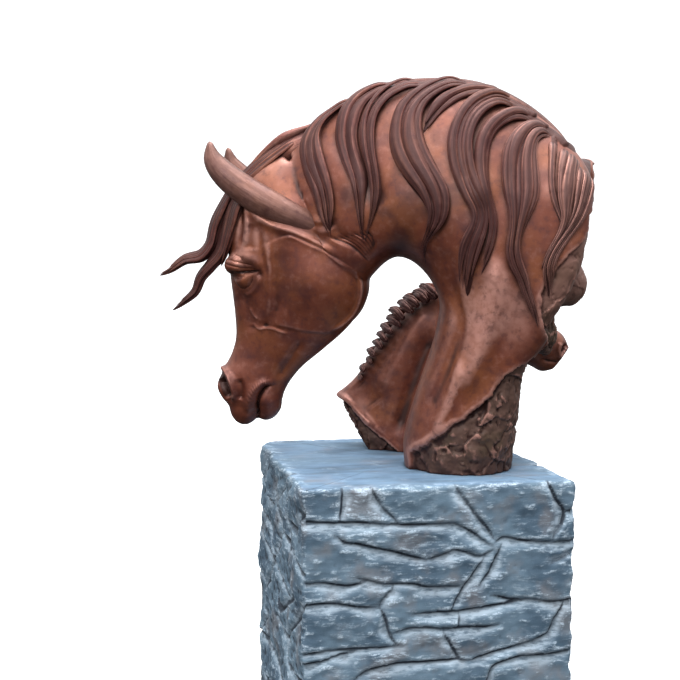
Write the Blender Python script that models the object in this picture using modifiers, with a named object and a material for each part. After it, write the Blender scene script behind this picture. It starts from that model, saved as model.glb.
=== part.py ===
"""A horse head statue: one casting of a mare and her foal, standing on a stone-faced pedestal.

Metres, +Z up. The origin is the middle of the pedestal's underside, +X runs along its front face
and +Y goes back. The casting is drawn in its own upright frame: u runs from the mare's nose
towards her mane, w goes across her, away from the side that carries the mane, and v is up. Its
points are shares of FIGURE_HEIGHT, so that the pose and the carving keep their proportions.
"""
import math
from typing import NamedTuple

import bmesh
import bpy
import numpy as np
from mathutils import Vector, noise
from mathutils.bvhtree import BVHTree

# Driving dimensions of the pedestal
PEDESTAL_WIDTH = 0.69
PEDESTAL_DEPTH = 0.715
PEDESTAL_HEIGHT = 0.70
PEDESTAL_CORNER = 0.018
TOP_EDGE = 0.006
JOINT_DEPTH = 0.015
JOINT_HALF_WIDTH = 0.007
SHOULDER_WIDTH = 0.045
STONE_TILT = 0.005
STONE_SPAN = 0.13
RELIEF_STEP = 0.011
CORNER_STEPS = 3
PEDESTAL_TRIANGLES = 1900

# Driving dimensions of the casting
FIGURE_HEIGHT = 0.99
FIGURE_TURN = math.radians(-22.0)
FIGURE_X = 0.12
FIGURE_Y = -0.10
SEAT_GAP = 0.0003
BODY_VOXEL = 0.0072
CARVED_VOXEL = 0.0058
CAST_TRIANGLES = 7900

# Sculpted surfaces
SKIN_THICKNESS = 0.008
ROCK_CHUNK = 0.075
ROCK_RELIEF = 0.016
LOCK_THICKNESS = 0.80
LOCK_LIFT = 0.55
ROOT_SINK = 0.45
EAR_SCOOP = 0.55
RING_POINTS = 40
RING_STEPS = 4

# Sections up the mare's neck: crest point, throat point, half width, squareness of the crest
# side, and how much narrower the crest is than the throat
NECK = (
    ((0.148, -0.035), (-0.140, -0.035), 0.160, 2.2, 0.00),
    ((0.148, 0.000), (-0.140, 0.001), 0.160, 2.2, 0.00),
    ((0.158, 0.110), (-0.143, 0.075), 0.155, 2.6, 0.00),
    ((0.176, 0.256), (-0.096, 0.180), 0.150, 4.0, 0.02),
    ((0.214, 0.330), (-0.064, 0.291), 0.150, 5.0, 0.04),
    ((0.248, 0.395), (-0.052, 0.361), 0.152, 6.0, 0.06),
    ((0.290, 0.478), (-0.056, 0.417), 0.156, 6.0, 0.08),
    ((0.320, 0.600), (-0.072, 0.463), 0.156, 5.0, 0.12),
    ((0.320, 0.735), (-0.098, 0.499), 0.152, 4.0, 0.18),
    ((0.268, 0.826), (-0.129, 0.524), 0.145, 2.6, 0.25),
    ((0.163, 0.922), (-0.160, 0.534), 0.136, 2.2, 0.32),
    ((0.031, 0.980), (-0.184, 0.529), 0.130, 2.2, 0.36),
    ((-0.111, 0.990), (-0.207, 0.513), 0.124, 2.2, 0.36),
    ((-0.250, 0.968), (-0.227, 0.492), 0.115, 2.2, 0.34),
    ((-0.370, 0.898), (-0.248, 0.470), 0.106, 2.2, 0.28),
    ((-0.451, 0.812), (-0.290, 0.450), 0.094, 2.2, 0.20),
)

# Sections down the mare's head: face point, jaw point, half width, squareness of the face
# side, and how much narrower the face is than the jaw
HEAD = (
    ((-0.470, 0.800), (-0.372, 0.700), 0.062, 2.2, 0.00),
    ((-0.525, 0.765), (-0.344, 0.641), 0.084, 2.6, 0.00),
    ((-0.570, 0.703), (-0.286, 0.572), 0.099, 3.0, -0.06),
    ((-0.600, 0.614), (-0.249, 0.513), 0.108, 3.0, -0.06),
    ((-0.608, 0.535), (-0.240, 0.453), 0.106, 2.8, 0.02),
    ((-0.602, 0.456), (-0.258, 0.401), 0.095, 2.6, 0.12),
    ((-0.594, 0.385), (-0.302, 0.343), 0.079, 2.6, 0.16),
    ((-0.591, 0.324), (-0.362, 0.289), 0.066, 2.5, 0.12),
    ((-0.602, 0.278), (-0.413, 0.246), 0.059, 2.5, 0.04),
    ((-0.622, 0.238), (-0.445, 0.208), 0.060, 2.4, 0.00),
    ((-0.643, 0.190), (-0.461, 0.170), 0.061, 2.4, 0.04),
    ((-0.634, 0.144), (-0.471, 0.130), 0.055, 2.4, 0.04),
    ((-0.600, 0.100), (-0.510, 0.097), 0.036, 2.2, 0.00),
)

# Sections up the foal's neck, and down its head, in the same form
FOAL_W = 0.235
FOAL_NECK = (
    ((-0.359, 0.141), (-0.215, -0.090), 0.074, 2.2, 0.20),
    ((-0.325, 0.198), (-0.100, -0.090), 0.082, 2.2, 0.26),
    ((-0.263, 0.285), (-0.020, 0.010), 0.084, 2.2, 0.30),
    ((-0.185, 0.379), (0.010, 0.120), 0.080, 2.2, 0.30),
    ((-0.089, 0.442), (0.035, 0.230), 0.074, 2.2, 0.28),
    ((0.035, 0.492), (0.070, 0.330), 0.068, 2.2, 0.15),
)
FOAL_HEAD = (
    ((0.000, 0.490), (0.020, 0.400), 0.045, 2.2, 0.00),
    ((0.080, 0.505), (0.055, 0.320), 0.072, 2.6, 0.00),
    ((0.155, 0.480), (0.085, 0.275), 0.076, 2.6, 0.00),
    ((0.205, 0.425), (0.130, 0.252), 0.060, 2.4, 0.10),
    ((0.242, 0.372), (0.172, 0.242), 0.047, 2.4, 0.05),
    ((0.268, 0.338), (0.206, 0.226), 0.046, 2.4, 0.00),
    ((0.290, 0.290), (0.240, 0.222), 0.034, 2.2, 0.00),
)

# Where the skin is torn off and the rough core shows: the tear, then around the bare side
TEAR = (
    (-0.118, 0.043), (-0.025, 0.112), (0.078, 0.194), (0.106, 0.239), (0.154, 0.272), (0.198, 0.302),
    (0.219, 0.332), (0.199, 0.399), (0.209, 0.479), (0.273, 0.556), (0.300, 0.582), (0.312, 0.640),
    (0.312, 0.720), (0.290, 0.775),
)
BARE_SIDE = ((0.60, 0.775), (0.60, -0.20), (-0.118, -0.20))
FOAL_TEAR = ((-0.370, 0.150), (-0.312, 0.116), (-0.275, 0.078), (-0.232, 0.045), (-0.175, 0.000))
FOAL_BARE_SIDE = ((-0.175, -0.20), (-0.60, -0.20), (-0.60, 0.15))


class Stroke(NamedTuple):
    """A groove or a ridge drawn on the sides of the head or the neck, in shares of the height."""

    points: tuple
    half_width: float
    height: float


class Bump(NamedTuple):
    """A rounded swelling on both sides of the head."""

    centre: tuple
    radius: float
    height: float


class Lock(NamedTuple):
    """A lock of hair from its root to its tip, in shares of the height."""

    half_width: float
    points: tuple


STROKES = (
    Stroke(((-0.483, 0.575), (-0.480, 0.509), (-0.492, 0.397), (-0.500, 0.350)), 0.013, 0.009),
    Stroke(((-0.470, 0.590), (-0.400, 0.580), (-0.346, 0.548), (-0.272, 0.504)), 0.010, 0.008),
    Stroke(((-0.272, 0.506), (-0.250, 0.455), (-0.269, 0.401), (-0.322, 0.350), (-0.368, 0.330)), 0.014, 0.009),
    Stroke(((-0.440, 0.555), (-0.447, 0.470), (-0.455, 0.380)), 0.020, -0.006),
    Stroke(((-0.594, 0.518), (-0.558, 0.530), (-0.519, 0.515), (-0.500, 0.493)), 0.010, 0.011),
    Stroke(((-0.596, 0.508), (-0.552, 0.511), (-0.500, 0.486)), 0.005, -0.007),
    Stroke(((-0.584, 0.462), (-0.550, 0.452), (-0.511, 0.468)), 0.005, -0.005),
    Stroke(((-0.581, 0.484), (-0.550, 0.474), (-0.511, 0.480)), 0.005, -0.007),
    Stroke(((-0.575, 0.440), (-0.545, 0.400), (-0.535, 0.330)), 0.018, -0.006),
    Stroke(((-0.530, 0.620), (-0.530, 0.545)), 0.018, -0.007),
    Stroke(((-0.399, 0.328), (-0.442, 0.255), (-0.463, 0.205)), 0.009, -0.005),
    Stroke(((-0.623, 0.208), (-0.618, 0.180), (-0.598, 0.150)), 0.009, -0.018),
    Stroke(((-0.605, 0.232), (-0.584, 0.208), (-0.578, 0.174), (-0.590, 0.140)), 0.008, 0.008),
    Stroke(((-0.567, 0.225), (-0.556, 0.183), (-0.568, 0.140)), 0.009, -0.006),
    Stroke(((-0.482, 0.196), (-0.506, 0.190), (-0.520, 0.162), (-0.540, 0.108)), 0.006, -0.012),
    Stroke(((-0.520, 0.205), (-0.540, 0.170), (-0.556, 0.120)), 0.012, 0.006),
    Stroke(((-0.347, 0.650), (-0.288, 0.570), (-0.240, 0.497)), 0.012, -0.010),
    Stroke(((-0.320, 0.672), (-0.262, 0.590), (-0.205, 0.520)), 0.012, 0.007),
    Stroke(((-0.036, 0.520), (-0.010, 0.434), (0.003, 0.365), (-0.030, 0.251), (-0.090, 0.119)), 0.018, -0.009),
    Stroke(((0.085, 0.560), (0.090, 0.430), (0.050, 0.300), (-0.010, 0.180)), 0.030, 0.010),
    Stroke(((-0.330, 0.860), (-0.260, 0.760), (-0.190, 0.650)), 0.030, -0.008),
)

SWELLINGS = (
    Bump((-0.550, 0.478), 0.026, 0.012),
    Bump((-0.345, 0.460), 0.080, 0.014),
    Bump((-0.430, 0.640), 0.040, 0.010),
    Bump((-0.600, 0.205), 0.034, 0.008),
    Bump((-0.500, 0.140), 0.026, 0.006),
    Bump((0.045, 0.690), 0.030, 0.010),
)

# The foal's brow, eyelid, nostril and mouth, then its eye and cheek
FOAL_STROKES = (
    Stroke(((0.150, 0.405), (0.172, 0.413), (0.192, 0.398)), 0.008, 0.009),
    Stroke(((0.152, 0.388), (0.172, 0.382), (0.188, 0.388)), 0.005, -0.006),
    Stroke(((0.274, 0.305), (0.264, 0.288), (0.264, 0.268)), 0.007, -0.012),
    Stroke(((0.205, 0.262), (0.245, 0.252), (0.290, 0.252)), 0.005, -0.009),
)
FOAL_SWELLINGS = (
    Bump((0.170, 0.392), 0.020, 0.008),
    Bump((0.125, 0.335), 0.050, 0.012),
)

# The locks on the mare's near side, from the poll to the back of the neck
MANE = (
    Lock(0.034, ((-0.300, 0.942), (-0.398, 0.836), (-0.377, 0.768), (-0.326, 0.639), (-0.318, 0.580))),
    Lock(0.024, ((-0.248, 0.969), (-0.326, 0.811), (-0.306, 0.748), (-0.262, 0.669))),
    Lock(0.024, ((-0.179, 0.991), (-0.255, 0.931), (-0.291, 0.860), (-0.270, 0.742), (-0.241, 0.571))),
    Lock(0.026, ((-0.065, 0.991), (-0.219, 0.896), (-0.232, 0.826), (-0.196, 0.700), (-0.241, 0.569))),
    Lock(0.026, ((0.028, 0.983), (-0.115, 0.924), (-0.150, 0.840), (-0.122, 0.759), (-0.057, 0.650), (-0.086, 0.514))),
    Lock(0.023, ((0.126, 0.949), (-0.010, 0.950), (-0.109, 0.850), (-0.068, 0.740), (-0.037, 0.665), (-0.063, 0.597))),
    Lock(0.026, ((0.139, 0.939), (0.022, 0.908), (-0.028, 0.800), (0.031, 0.655), (0.001, 0.554), (0.008, 0.432))),
    Lock(0.026, ((0.176, 0.919), (0.076, 0.886), (0.028, 0.785), (0.067, 0.635), (0.047, 0.537), (0.022, 0.452))),
    Lock(0.018, ((0.191, 0.909), (0.090, 0.874), (0.055, 0.773), (0.079, 0.622), (0.050, 0.520))),
    Lock(0.026, ((0.216, 0.889), (0.124, 0.859), (0.105, 0.766), (0.133, 0.630), (0.131, 0.526), (0.192, 0.365))),
    Lock(0.024, ((0.244, 0.859), (0.173, 0.816), (0.164, 0.755), (0.178, 0.694), (0.133, 0.555))),
    Lock(0.016, ((0.227, 0.844), (0.219, 0.760), (0.236, 0.647), (0.207, 0.551), (0.201, 0.507))),
    Lock(0.026, ((0.266, 0.834), (0.273, 0.720), (0.248, 0.608), (0.208, 0.519), (0.212, 0.445))),
    Lock(0.024, ((0.286, 0.809), (0.308, 0.700), (0.267, 0.597), (0.236, 0.551))),
)

# The plainer fringe that falls over the crest to the far side
FRINGE_LOCKS = 11
FRINGE_LENGTH = 0.15
FRINGE_HALF_WIDTH = 0.028

# The forelock: locks that leave the brow, with their own places across the head
FORELOCK = (
    Lock(0.034, ((-0.400, 0.000, 0.850), (-0.505, -0.020, 0.775), (-0.585, -0.025, 0.690), (-0.628, -0.025, 0.570))),
    Lock(0.030, ((-0.400, 0.020, 0.850), (-0.505, 0.030, 0.775), (-0.580, 0.035, 0.690), (-0.618, 0.030, 0.560))),
    Lock(0.029, ((-0.580, -0.030, 0.710), (-0.628, -0.030, 0.613), (-0.655, -0.030, 0.532), (-0.799, -0.030, 0.478))),
    Lock(0.027, ((-0.575, -0.045, 0.680), (-0.608, -0.050, 0.560), (-0.672, -0.040, 0.460), (-0.760, -0.030, 0.386))),
    Lock(0.022, ((-0.545, -0.062, 0.710), (-0.575, -0.072, 0.612), (-0.618, -0.060, 0.500))),
    Lock(0.024, ((-0.550, 0.055, 0.720), (-0.590, 0.062, 0.612), (-0.618, 0.050, 0.530))),
)

# An ear, from its root to its tip; across is measured from the middle of the head
EAR = (
    (-0.395, 0.060, 0.612), (-0.470, 0.088, 0.655), (-0.535, 0.098, 0.690), (-0.592, 0.100, 0.731),
    (-0.629, 0.096, 0.776), (-0.641, 0.090, 0.823),
)
EAR_HALF_WIDTHS = (0.034, 0.042, 0.041, 0.036, 0.027, 0.005)

# The foal's ears, laid back along its neck; across is measured from the middle of its head
FOAL_EAR = ((0.095, 0.040, 0.480), (0.060, 0.055, 0.525), (0.020, 0.060, 0.550), (-0.020, 0.055, 0.560))
FOAL_EAR_HALF_WIDTHS = (0.018, 0.024, 0.020, 0.005)

# The tufts of the foal's upright mane, along the crest of its neck
TUFTS = 18
TUFT_LENGTH = 0.036
TUFT_HALF_WIDTH = 0.017

# Knobs of the rough core that stand out behind the neck: centre (u, w, v) and radii
KNOBS = (
    ((0.262, 0.045, 0.470), (0.062, 0.075, 0.072)),
    ((0.300, 0.085, 0.745), (0.038, 0.050, 0.045)),
)

# Joints between the stones, as places on a face from its middle and from the floor
FACE_SPAN = 0.66
FACE_HEIGHT = 0.70
JOINTS = (
    ((-0.33, 0.63), (-0.11, 0.62), (0.01, 0.61), (0.07, 0.58), (0.12, 0.54)),
    ((-0.25, 0.70), (-0.25, 0.62)),
    ((-0.17, 0.70), (-0.11, 0.62)),
    ((0.02, 0.69), (0.12, 0.55), (0.17, 0.56), (0.33, 0.555)),
    ((0.26, 0.70), (0.30, 0.63), (0.28, 0.56)),
    ((-0.33, 0.60), (-0.25, 0.59), (-0.10, 0.54), (-0.02, 0.53), (0.11, 0.52)),
    ((-0.20, 0.49), (-0.05, 0.46), (0.03, 0.45)),
    ((-0.33, 0.48), (-0.22, 0.48), (-0.11, 0.46)),
    ((0.10, 0.53), (0.06, 0.45), (0.03, 0.40)),
    ((0.13, 0.54), (0.10, 0.45), (0.11, 0.40)),
    ((-0.33, 0.43), (-0.18, 0.42), (-0.12, 0.36), (-0.11, 0.32)),
    ((-0.11, 0.36), (0.04, 0.35), (0.05, 0.39)),
    ((-0.15, 0.41), (-0.07, 0.40), (0.01, 0.39), (0.11, 0.40), (0.33, 0.41)),
    ((0.00, 0.35), (0.05, 0.28)),
    ((-0.33, 0.32), (-0.21, 0.32), (-0.11, 0.33)),
    ((0.05, 0.28), (0.16, 0.28), (0.26, 0.32), (0.30, 0.40)),
    ((-0.33, 0.21), (-0.20, 0.22), (-0.02, 0.20), (0.05, 0.28)),
    ((-0.20, 0.32), (-0.16, 0.22)),
    ((0.02, 0.21), (0.16, 0.19), (0.33, 0.20)),
    ((0.16, 0.28), (0.18, 0.19)),
    ((-0.24, 0.21), (-0.27, 0.10)),
    ((-0.06, 0.205), (-0.03, 0.11)),
    ((0.12, 0.195), (0.17, 0.09)),
    ((-0.33, 0.10), (-0.15, 0.11), (0.04, 0.10), (0.19, 0.09), (0.33, 0.10)),
    ((-0.17, 0.11), (-0.14, 0.00)),
    ((0.07, 0.10), (0.04, 0.00)),
    ((0.24, 0.09), (0.27, 0.00)),
)


# Each face of the pedestal: the way it faces, the axis along it and its length, and whether the
# pattern of joints is mirrored or upside down on it
FACES = (
    ((0, -1), 0, PEDESTAL_WIDTH, False, False),
    ((1, 0), 1, PEDESTAL_DEPTH, True, False),
    ((0, 1), 0, PEDESTAL_WIDTH, True, True),
    ((-1, 0), 1, PEDESTAL_DEPTH, False, True),
)


def smooth_through(rows, steps):
    """A smooth curve through the rows of points, with steps spans between each pair."""
    rows = np.asarray(rows, dtype=float)
    padded = np.vstack((2 * rows[0] - rows[1], rows, 2 * rows[-1] - rows[-2]))
    curve = []
    for first, second, third, fourth in zip(padded, padded[1:], padded[2:], padded[3:]):
        for step in range(steps):
            t = step / steps
            curve.append(0.5 * (2 * second + (third - first) * t
                                + (2 * first - 5 * second + 4 * third - fourth) * t ** 2
                                + (3 * second - first - 3 * third + fourth) * t ** 3))
    curve.append(rows[-1])
    return np.array(curve)


def section_ring(row, across):
    """One ring of points (u, w, v) from a smoothed section row, about the plane at across."""
    outer, inner = row[0:2] * FIGURE_HEIGHT, row[2:4] * FIGURE_HEIGHT
    half_width, squareness, narrowing = row[4:7]
    angles = np.arange(RING_POINTS) * math.tau / RING_POINTS
    cosines, sines = np.cos(angles), np.sin(angles)
    power = 2 / np.where(cosines > 0, squareness, 2.2)
    along = np.sign(cosines) * np.abs(cosines) ** power
    sideways = np.sign(sines) * np.abs(sines) ** power * (1 - narrowing * along)
    middle, reach = (outer + inner) / 2, (outer - inner) / 2
    return np.column_stack((middle[0] + reach[0] * along, across + half_width * FIGURE_HEIGHT * sideways,
                            middle[1] + reach[1] * along))


def section_rings(sections, across):
    """The rings of a smooth body through all of its sections."""
    rows = [(*outer, *inner, *sizes) for outer, inner, *sizes in sections]
    return [section_ring(row, across) for row in smooth_through(rows, RING_STEPS)]


def tube_rings(path, sides, thicknesses, half_widths, scoop=0.0, sides_count=12):
    """Rings of a tapering flat tube along a path; sides point across its width at each point."""
    tangents = np.gradient(path, axis=0)
    tangents /= np.linalg.norm(tangents, axis=1)[:, None]
    angles = np.arange(sides_count) * math.tau / sides_count
    rings = []
    for point, tangent, side, thickness, half_width in zip(path, tangents, sides, thicknesses, half_widths):
        side = side - tangent * (side @ tangent)
        side /= np.linalg.norm(side)
        lift = np.cross(tangent, side)
        hollow = 1 - scoop * np.maximum(0, -np.sin(angles)) ** 2
        rings.append(point + np.outer(np.cos(angles) * half_width, side)
                     + np.outer(np.sin(angles) * hollow * thickness, lift))
    return rings


def add_loft(shells, rings):
    """Add a closed shell through the rings to a mesh of shells."""
    loops = [[shells.verts.new(point) for point in ring] for ring in rings]
    faces = []
    for lower, upper in zip(loops, loops[1:]):
        for index in range(len(lower)):
            after = (index + 1) % len(lower)
            faces.append(shells.faces.new((lower[index], lower[after], upper[after], upper[index])))
    faces.append(shells.faces.new(loops[0][::-1]))
    faces.append(shells.faces.new(loops[-1]))
    bmesh.ops.recalc_face_normals(shells, faces=faces)


def evaluated_mesh(name, mesh, modifier_type, **settings):
    """The mesh after one modifier, as new mesh data."""
    carrier = bpy.data.objects.new(name, mesh)
    bpy.context.scene.collection.objects.link(carrier)
    modifier = carrier.modifiers.new(modifier_type.title(), modifier_type)
    for setting, value in settings.items():
        setattr(modifier, setting, value)
    graph = bpy.context.evaluated_depsgraph_get()
    result = bpy.data.meshes.new_from_object(carrier.evaluated_get(graph))
    bpy.data.objects.remove(carrier)
    return result


def fused(name, shells, voxel):
    """One skin around all the shells that overlap."""
    mesh = bpy.data.meshes.new(name)
    shells.to_mesh(mesh)
    shells.free()
    return evaluated_mesh(name, mesh, "REMESH", mode="VOXEL", voxel_size=voxel)


def points_and_normals(mesh):
    """The mesh's vertices and their normals, as arrays."""
    points = np.empty(len(mesh.vertices) * 3)
    normals = np.empty(len(mesh.vertices) * 3)
    mesh.vertices.foreach_get("co", points)
    mesh.vertices.foreach_get("normal", normals)
    return points.reshape(-1, 3), normals.reshape(-1, 3)


def set_points(mesh, points):
    """Move the mesh's vertices to the points."""
    mesh.vertices.foreach_set("co", points.ravel())
    mesh.update()


def nearest_on_path(places, path):
    """Distance to a path, share of the way along it and signed side of it, for each place."""
    best = np.full(len(places), np.inf)
    share = np.zeros(len(places))
    side = np.zeros(len(places))
    lengths = np.concatenate(([0], np.cumsum(np.linalg.norm(np.diff(path, axis=0), axis=1))))
    for index, (start, end) in enumerate(zip(path, path[1:])):
        span = end - start
        offset = places - start
        along = np.clip(offset @ span / (span @ span), 0, 1)
        away = offset - np.outer(along, span)
        distance = np.hypot(away[:, 0], away[:, 1])
        closer = distance < best
        best[closer] = distance[closer]
        share[closer] = ((lengths[index] + along * (lengths[index + 1] - lengths[index])) / lengths[-1])[closer]
        side[closer] = np.sign(span[0] * offset[:, 1] - span[1] * offset[:, 0])[closer]
    return best, share, side


def inside(places, outline):
    """Which places lie inside a closed outline."""
    outline = np.asarray(outline)
    hits = np.zeros(len(places), dtype=bool)
    for (x1, y1), (x2, y2) in zip(outline, np.roll(outline, -1, axis=0)):
        if y1 == y2:
            continue
        crosses = (y1 > places[:, 1]) != (y2 > places[:, 1])
        at = (x2 - x1) * (places[:, 1] - y1) / (y2 - y1) + x1
        hits ^= crosses & (places[:, 0] < at)
    return hits


def carved_moves(points, normals, strokes, swellings, where):
    """How far each point moves out for the strokes and swellings on the sides of one animal."""
    places = points[:, [0, 2]] / FIGURE_HEIGHT
    moves = np.zeros(len(points))
    for stroke in strokes:
        distance, share, _ = nearest_on_path(places, smooth_through(stroke.points, RING_STEPS))
        ends = np.clip(np.minimum(share, 1 - share) * 6, 0.25, 1)
        moves += stroke.height * ends * np.exp(-(distance / stroke.half_width) ** 2)
    for swelling in swellings:
        distance = np.hypot(*(places - swelling.centre).T)
        moves += swelling.height * np.exp(-(distance / swelling.radius) ** 2)
    return moves * FIGURE_HEIGHT * np.clip(np.abs(normals[:, 1]) * 2.0, 0, 1) * where


def rock_relief(point, chunk, relief):
    """How far a point of rough core stands out, in chunks about as wide as chunk."""
    place = Vector(point) / (chunk * FIGURE_HEIGHT)
    distances, cells = noise.voronoi(place)
    tilt = noise.cell_vector(cells[0] * 7.3) - Vector((0.5, 0.5, 0.5))
    slope = (place - cells[0]).dot(tilt)
    edge = min(1.0, (distances[1] - distances[0]) * 3)
    return relief * (0.9 * slope + 0.55 * edge + 0.35 * noise.noise(place * 2.7) - 0.6)


def tear_skin(points, tear, bare_side, half_space):
    """How far each point moves where the skin is torn: back to the core, and out at the rim."""
    places = points[:, [0, 2]] / FIGURE_HEIGHT
    edge = smooth_through(tear, RING_STEPS)
    bare = inside(places, np.vstack((edge, bare_side))) & half_space
    distance, _, _ = nearest_on_path(places, edge)
    signed = np.where(bare, distance, -distance) * FIGURE_HEIGHT
    depth = np.clip(signed / SKIN_THICKNESS, 0, 1)
    rim = 0.35 * SKIN_THICKNESS * np.exp(-((signed + SKIN_THICKNESS) / SKIN_THICKNESS) ** 2) * half_space
    moves = rim - depth * SKIN_THICKNESS
    relief = [rock_relief(points[index], ROCK_CHUNK, ROCK_RELIEF * FIGURE_HEIGHT) if bare[index] else 0.0
              for index in range(len(points))]
    return moves + depth * np.array(relief)


def carved_body():
    """The bare mare and foal, fused and carved, before the hair and ears go on."""
    shells = bmesh.new()
    add_loft(shells, section_rings(NECK, 0.0))
    add_loft(shells, section_rings(HEAD, 0.0))
    add_loft(shells, section_rings(FOAL_NECK, FOAL_W * FIGURE_HEIGHT))
    add_loft(shells, section_rings(FOAL_HEAD, (FOAL_W - 0.02) * FIGURE_HEIGHT))
    for centre, radii in KNOBS:
        add_knob(shells, centre, radii)
    mesh = fused("body", shells, BODY_VOXEL * FIGURE_HEIGHT)
    points, normals = points_and_normals(mesh)
    behind = points[:, 1] > (FOAL_W - 0.08) * FIGURE_HEIGHT
    foal_foot = behind & (points[:, 0] < -0.14 * FIGURE_HEIGHT)
    foal_face = behind & (points[:, 0] > 0.05 * FIGURE_HEIGHT) & (points[:, 2] < 0.52 * FIGURE_HEIGHT)
    moves = carved_moves(points, normals, STROKES, SWELLINGS, ~behind)
    moves += carved_moves(points, normals, FOAL_STROKES, FOAL_SWELLINGS, foal_face)
    moves += tear_skin(points, TEAR, BARE_SIDE, ~foal_foot & ~foal_face)
    moves += tear_skin(points, FOAL_TEAR, FOAL_BARE_SIDE, foal_foot)
    set_points(mesh, points + normals * moves[:, None])
    return mesh


def laid_on(surface, places, side):
    """Points and outward directions where a drawn path lies on one side of a surface."""
    points, outward = [], []
    for u, v in places * FIGURE_HEIGHT:
        hit, normal, _, _ = surface.ray_cast(Vector((u, side * FIGURE_HEIGHT, v)), Vector((0, -side, 0)))
        if hit is None:
            hit, normal, _, _ = surface.find_nearest(Vector((u, 0.02 * side * FIGURE_HEIGHT, v)))
        points.append(hit)
        outward.append(normal)
    points, outward = np.array(points), np.array(outward)
    for _ in range(3):
        points[1:-1] = (points[:-2] + 2 * points[1:-1] + points[2:]) / 4
        outward[1:-1] = (outward[:-2] + 2 * outward[1:-1] + outward[2:]) / 4
    return points, outward


def add_lock(shells, surface, lock, side=-1):
    """Add a lock of hair that lies on the surface."""
    path, outward = laid_on(surface, smooth_through(lock.points, 5), side)
    share = np.linspace(0, 1, len(path))
    half_widths = lock.half_width * FIGURE_HEIGHT * np.minimum(1, 0.65 + share) * (1.02 - share ** 2.5) ** 0.7
    thicknesses = half_widths * LOCK_THICKNESS
    tangents = np.gradient(path, axis=0)
    sides = np.cross(tangents, outward)
    risen = np.clip(share * 3, 0, 1)
    path = path + outward * (thicknesses * (LOCK_LIFT * risen - ROOT_SINK * (1 - risen)))[:, None]
    add_loft(shells, tube_rings(path, sides, thicknesses, half_widths))


def add_forelock(shells, lock):
    """Add a lock that hangs in the air beyond the brow."""
    path = smooth_through(lock.points, 6) * FIGURE_HEIGHT
    share = np.linspace(0, 1, len(path))
    half_widths = lock.half_width * FIGURE_HEIGHT * np.minimum(1, 0.7 + share) * (1.02 - share ** 2) ** 0.7
    half_widths = np.maximum(half_widths, 0.006 * FIGURE_HEIGHT)
    across = np.tile((0.0, 1.0, 0.0), (len(path), 1))
    add_loft(shells, tube_rings(path, across, half_widths, half_widths))


def add_knob(shells, centre, radii):
    """Add a rounded knob of core."""
    made = bmesh.ops.create_icosphere(shells, subdivisions=3, radius=1.0)
    for vertex in made["verts"]:
        vertex.co = Vector(middle + radius * value
                           for middle, radius, value in zip(centre, radii, vertex.co)) * FIGURE_HEIGHT


def add_ear(shells, points, half_widths, across, side):
    """Add an ear on one side of the plane at across, scooped out along its front."""
    path = smooth_through(points, 4) * FIGURE_HEIGHT
    path[:, 1] = across * FIGURE_HEIGHT + path[:, 1] * side
    widths = smooth_through([(width, 0) for width in half_widths], 4)[:, 0] * FIGURE_HEIGHT
    lift = np.tile((0.35, side, 0.0), (len(path), 1))
    sides = np.cross(lift, np.gradient(path, axis=0)) * -side
    add_loft(shells, tube_rings(path, sides, widths * 0.85, widths, EAR_SCOOP, 16))


def add_tufts(shells):
    """Add the foal's upright mane, a row of leaning tufts that grow up the neck."""
    crest = smooth_through([outer for outer, *_ in FOAL_NECK], 8) * FIGURE_HEIGHT
    crest = crest[2:]
    for index in range(TUFTS):
        share = (index + 0.5) / TUFTS
        at = share * (len(crest) - 1)
        low = int(at)
        place = crest[low] + (crest[low + 1] - crest[low]) * (at - low)
        along = crest[low + 1] - crest[low]
        along = along / np.linalg.norm(along)
        out = np.array((-along[1], along[0]))
        length = TUFT_LENGTH * FIGURE_HEIGHT * (0.45 + 0.55 * share)
        root = place - out * 0.03 * FIGURE_HEIGHT
        tip = place + out * length * 0.75 - along * length * 0.35
        path = smooth_through([(root[0], 0, root[1]), (*place[:1], 0, place[1]), (tip[0], 0, tip[1])], 3)
        path[:, 1] = FOAL_W * FIGURE_HEIGHT
        half_widths = TUFT_HALF_WIDTH * FIGURE_HEIGHT * np.linspace(1.1, 0.35, len(path)) * (0.7 + 0.3 * share)
        sides = np.tile((along[0], 0.0, along[1]), (len(path), 1))
        add_loft(shells, tube_rings(path, sides, half_widths * 1.6, half_widths, sides_count=8))


def add_fringe(shells, surface):
    """Add short locks down the far side of the crest."""
    crest = smooth_through([outer for outer, *_ in NECK[9:15]], 8)
    for index in range(FRINGE_LOCKS):
        at = index / (FRINGE_LOCKS - 1) * (len(crest) - 1)
        root = crest[int(at)]
        inward = np.array((-0.08, 0.62)) - root
        inward /= np.linalg.norm(inward)
        sway = 0.02 * math.sin(index * 2.1)
        middle = root + inward * FRINGE_LENGTH * 0.55 + (sway, 0)
        tip = root + inward * FRINGE_LENGTH * (1 + 0.2 * math.sin(index * 1.7)) - (sway, 0)
        add_lock(shells, surface, Lock(FRINGE_HALF_WIDTH, (root + inward * 0.01, middle, tip)), 1)


def largest_body(mesh):
    """Remove every loose shell but the largest, such as a pocket closed in under the hair."""
    shells = bmesh.new()
    shells.from_mesh(mesh)
    seen, groups = set(), []
    for start in shells.verts:
        if start in seen:
            continue
        group, waiting = [], [start]
        seen.add(start)
        while waiting:
            vertex = waiting.pop()
            group.append(vertex)
            for edge in vertex.link_edges:
                other = edge.other_vert(vertex)
                if other not in seen:
                    seen.add(other)
                    waiting.append(other)
        groups.append(group)
    groups.sort(key=len, reverse=True)
    for group in groups[1:]:
        bmesh.ops.delete(shells, geom=group, context="VERTS")
    shells.to_mesh(mesh)
    shells.free()
    return mesh


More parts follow.
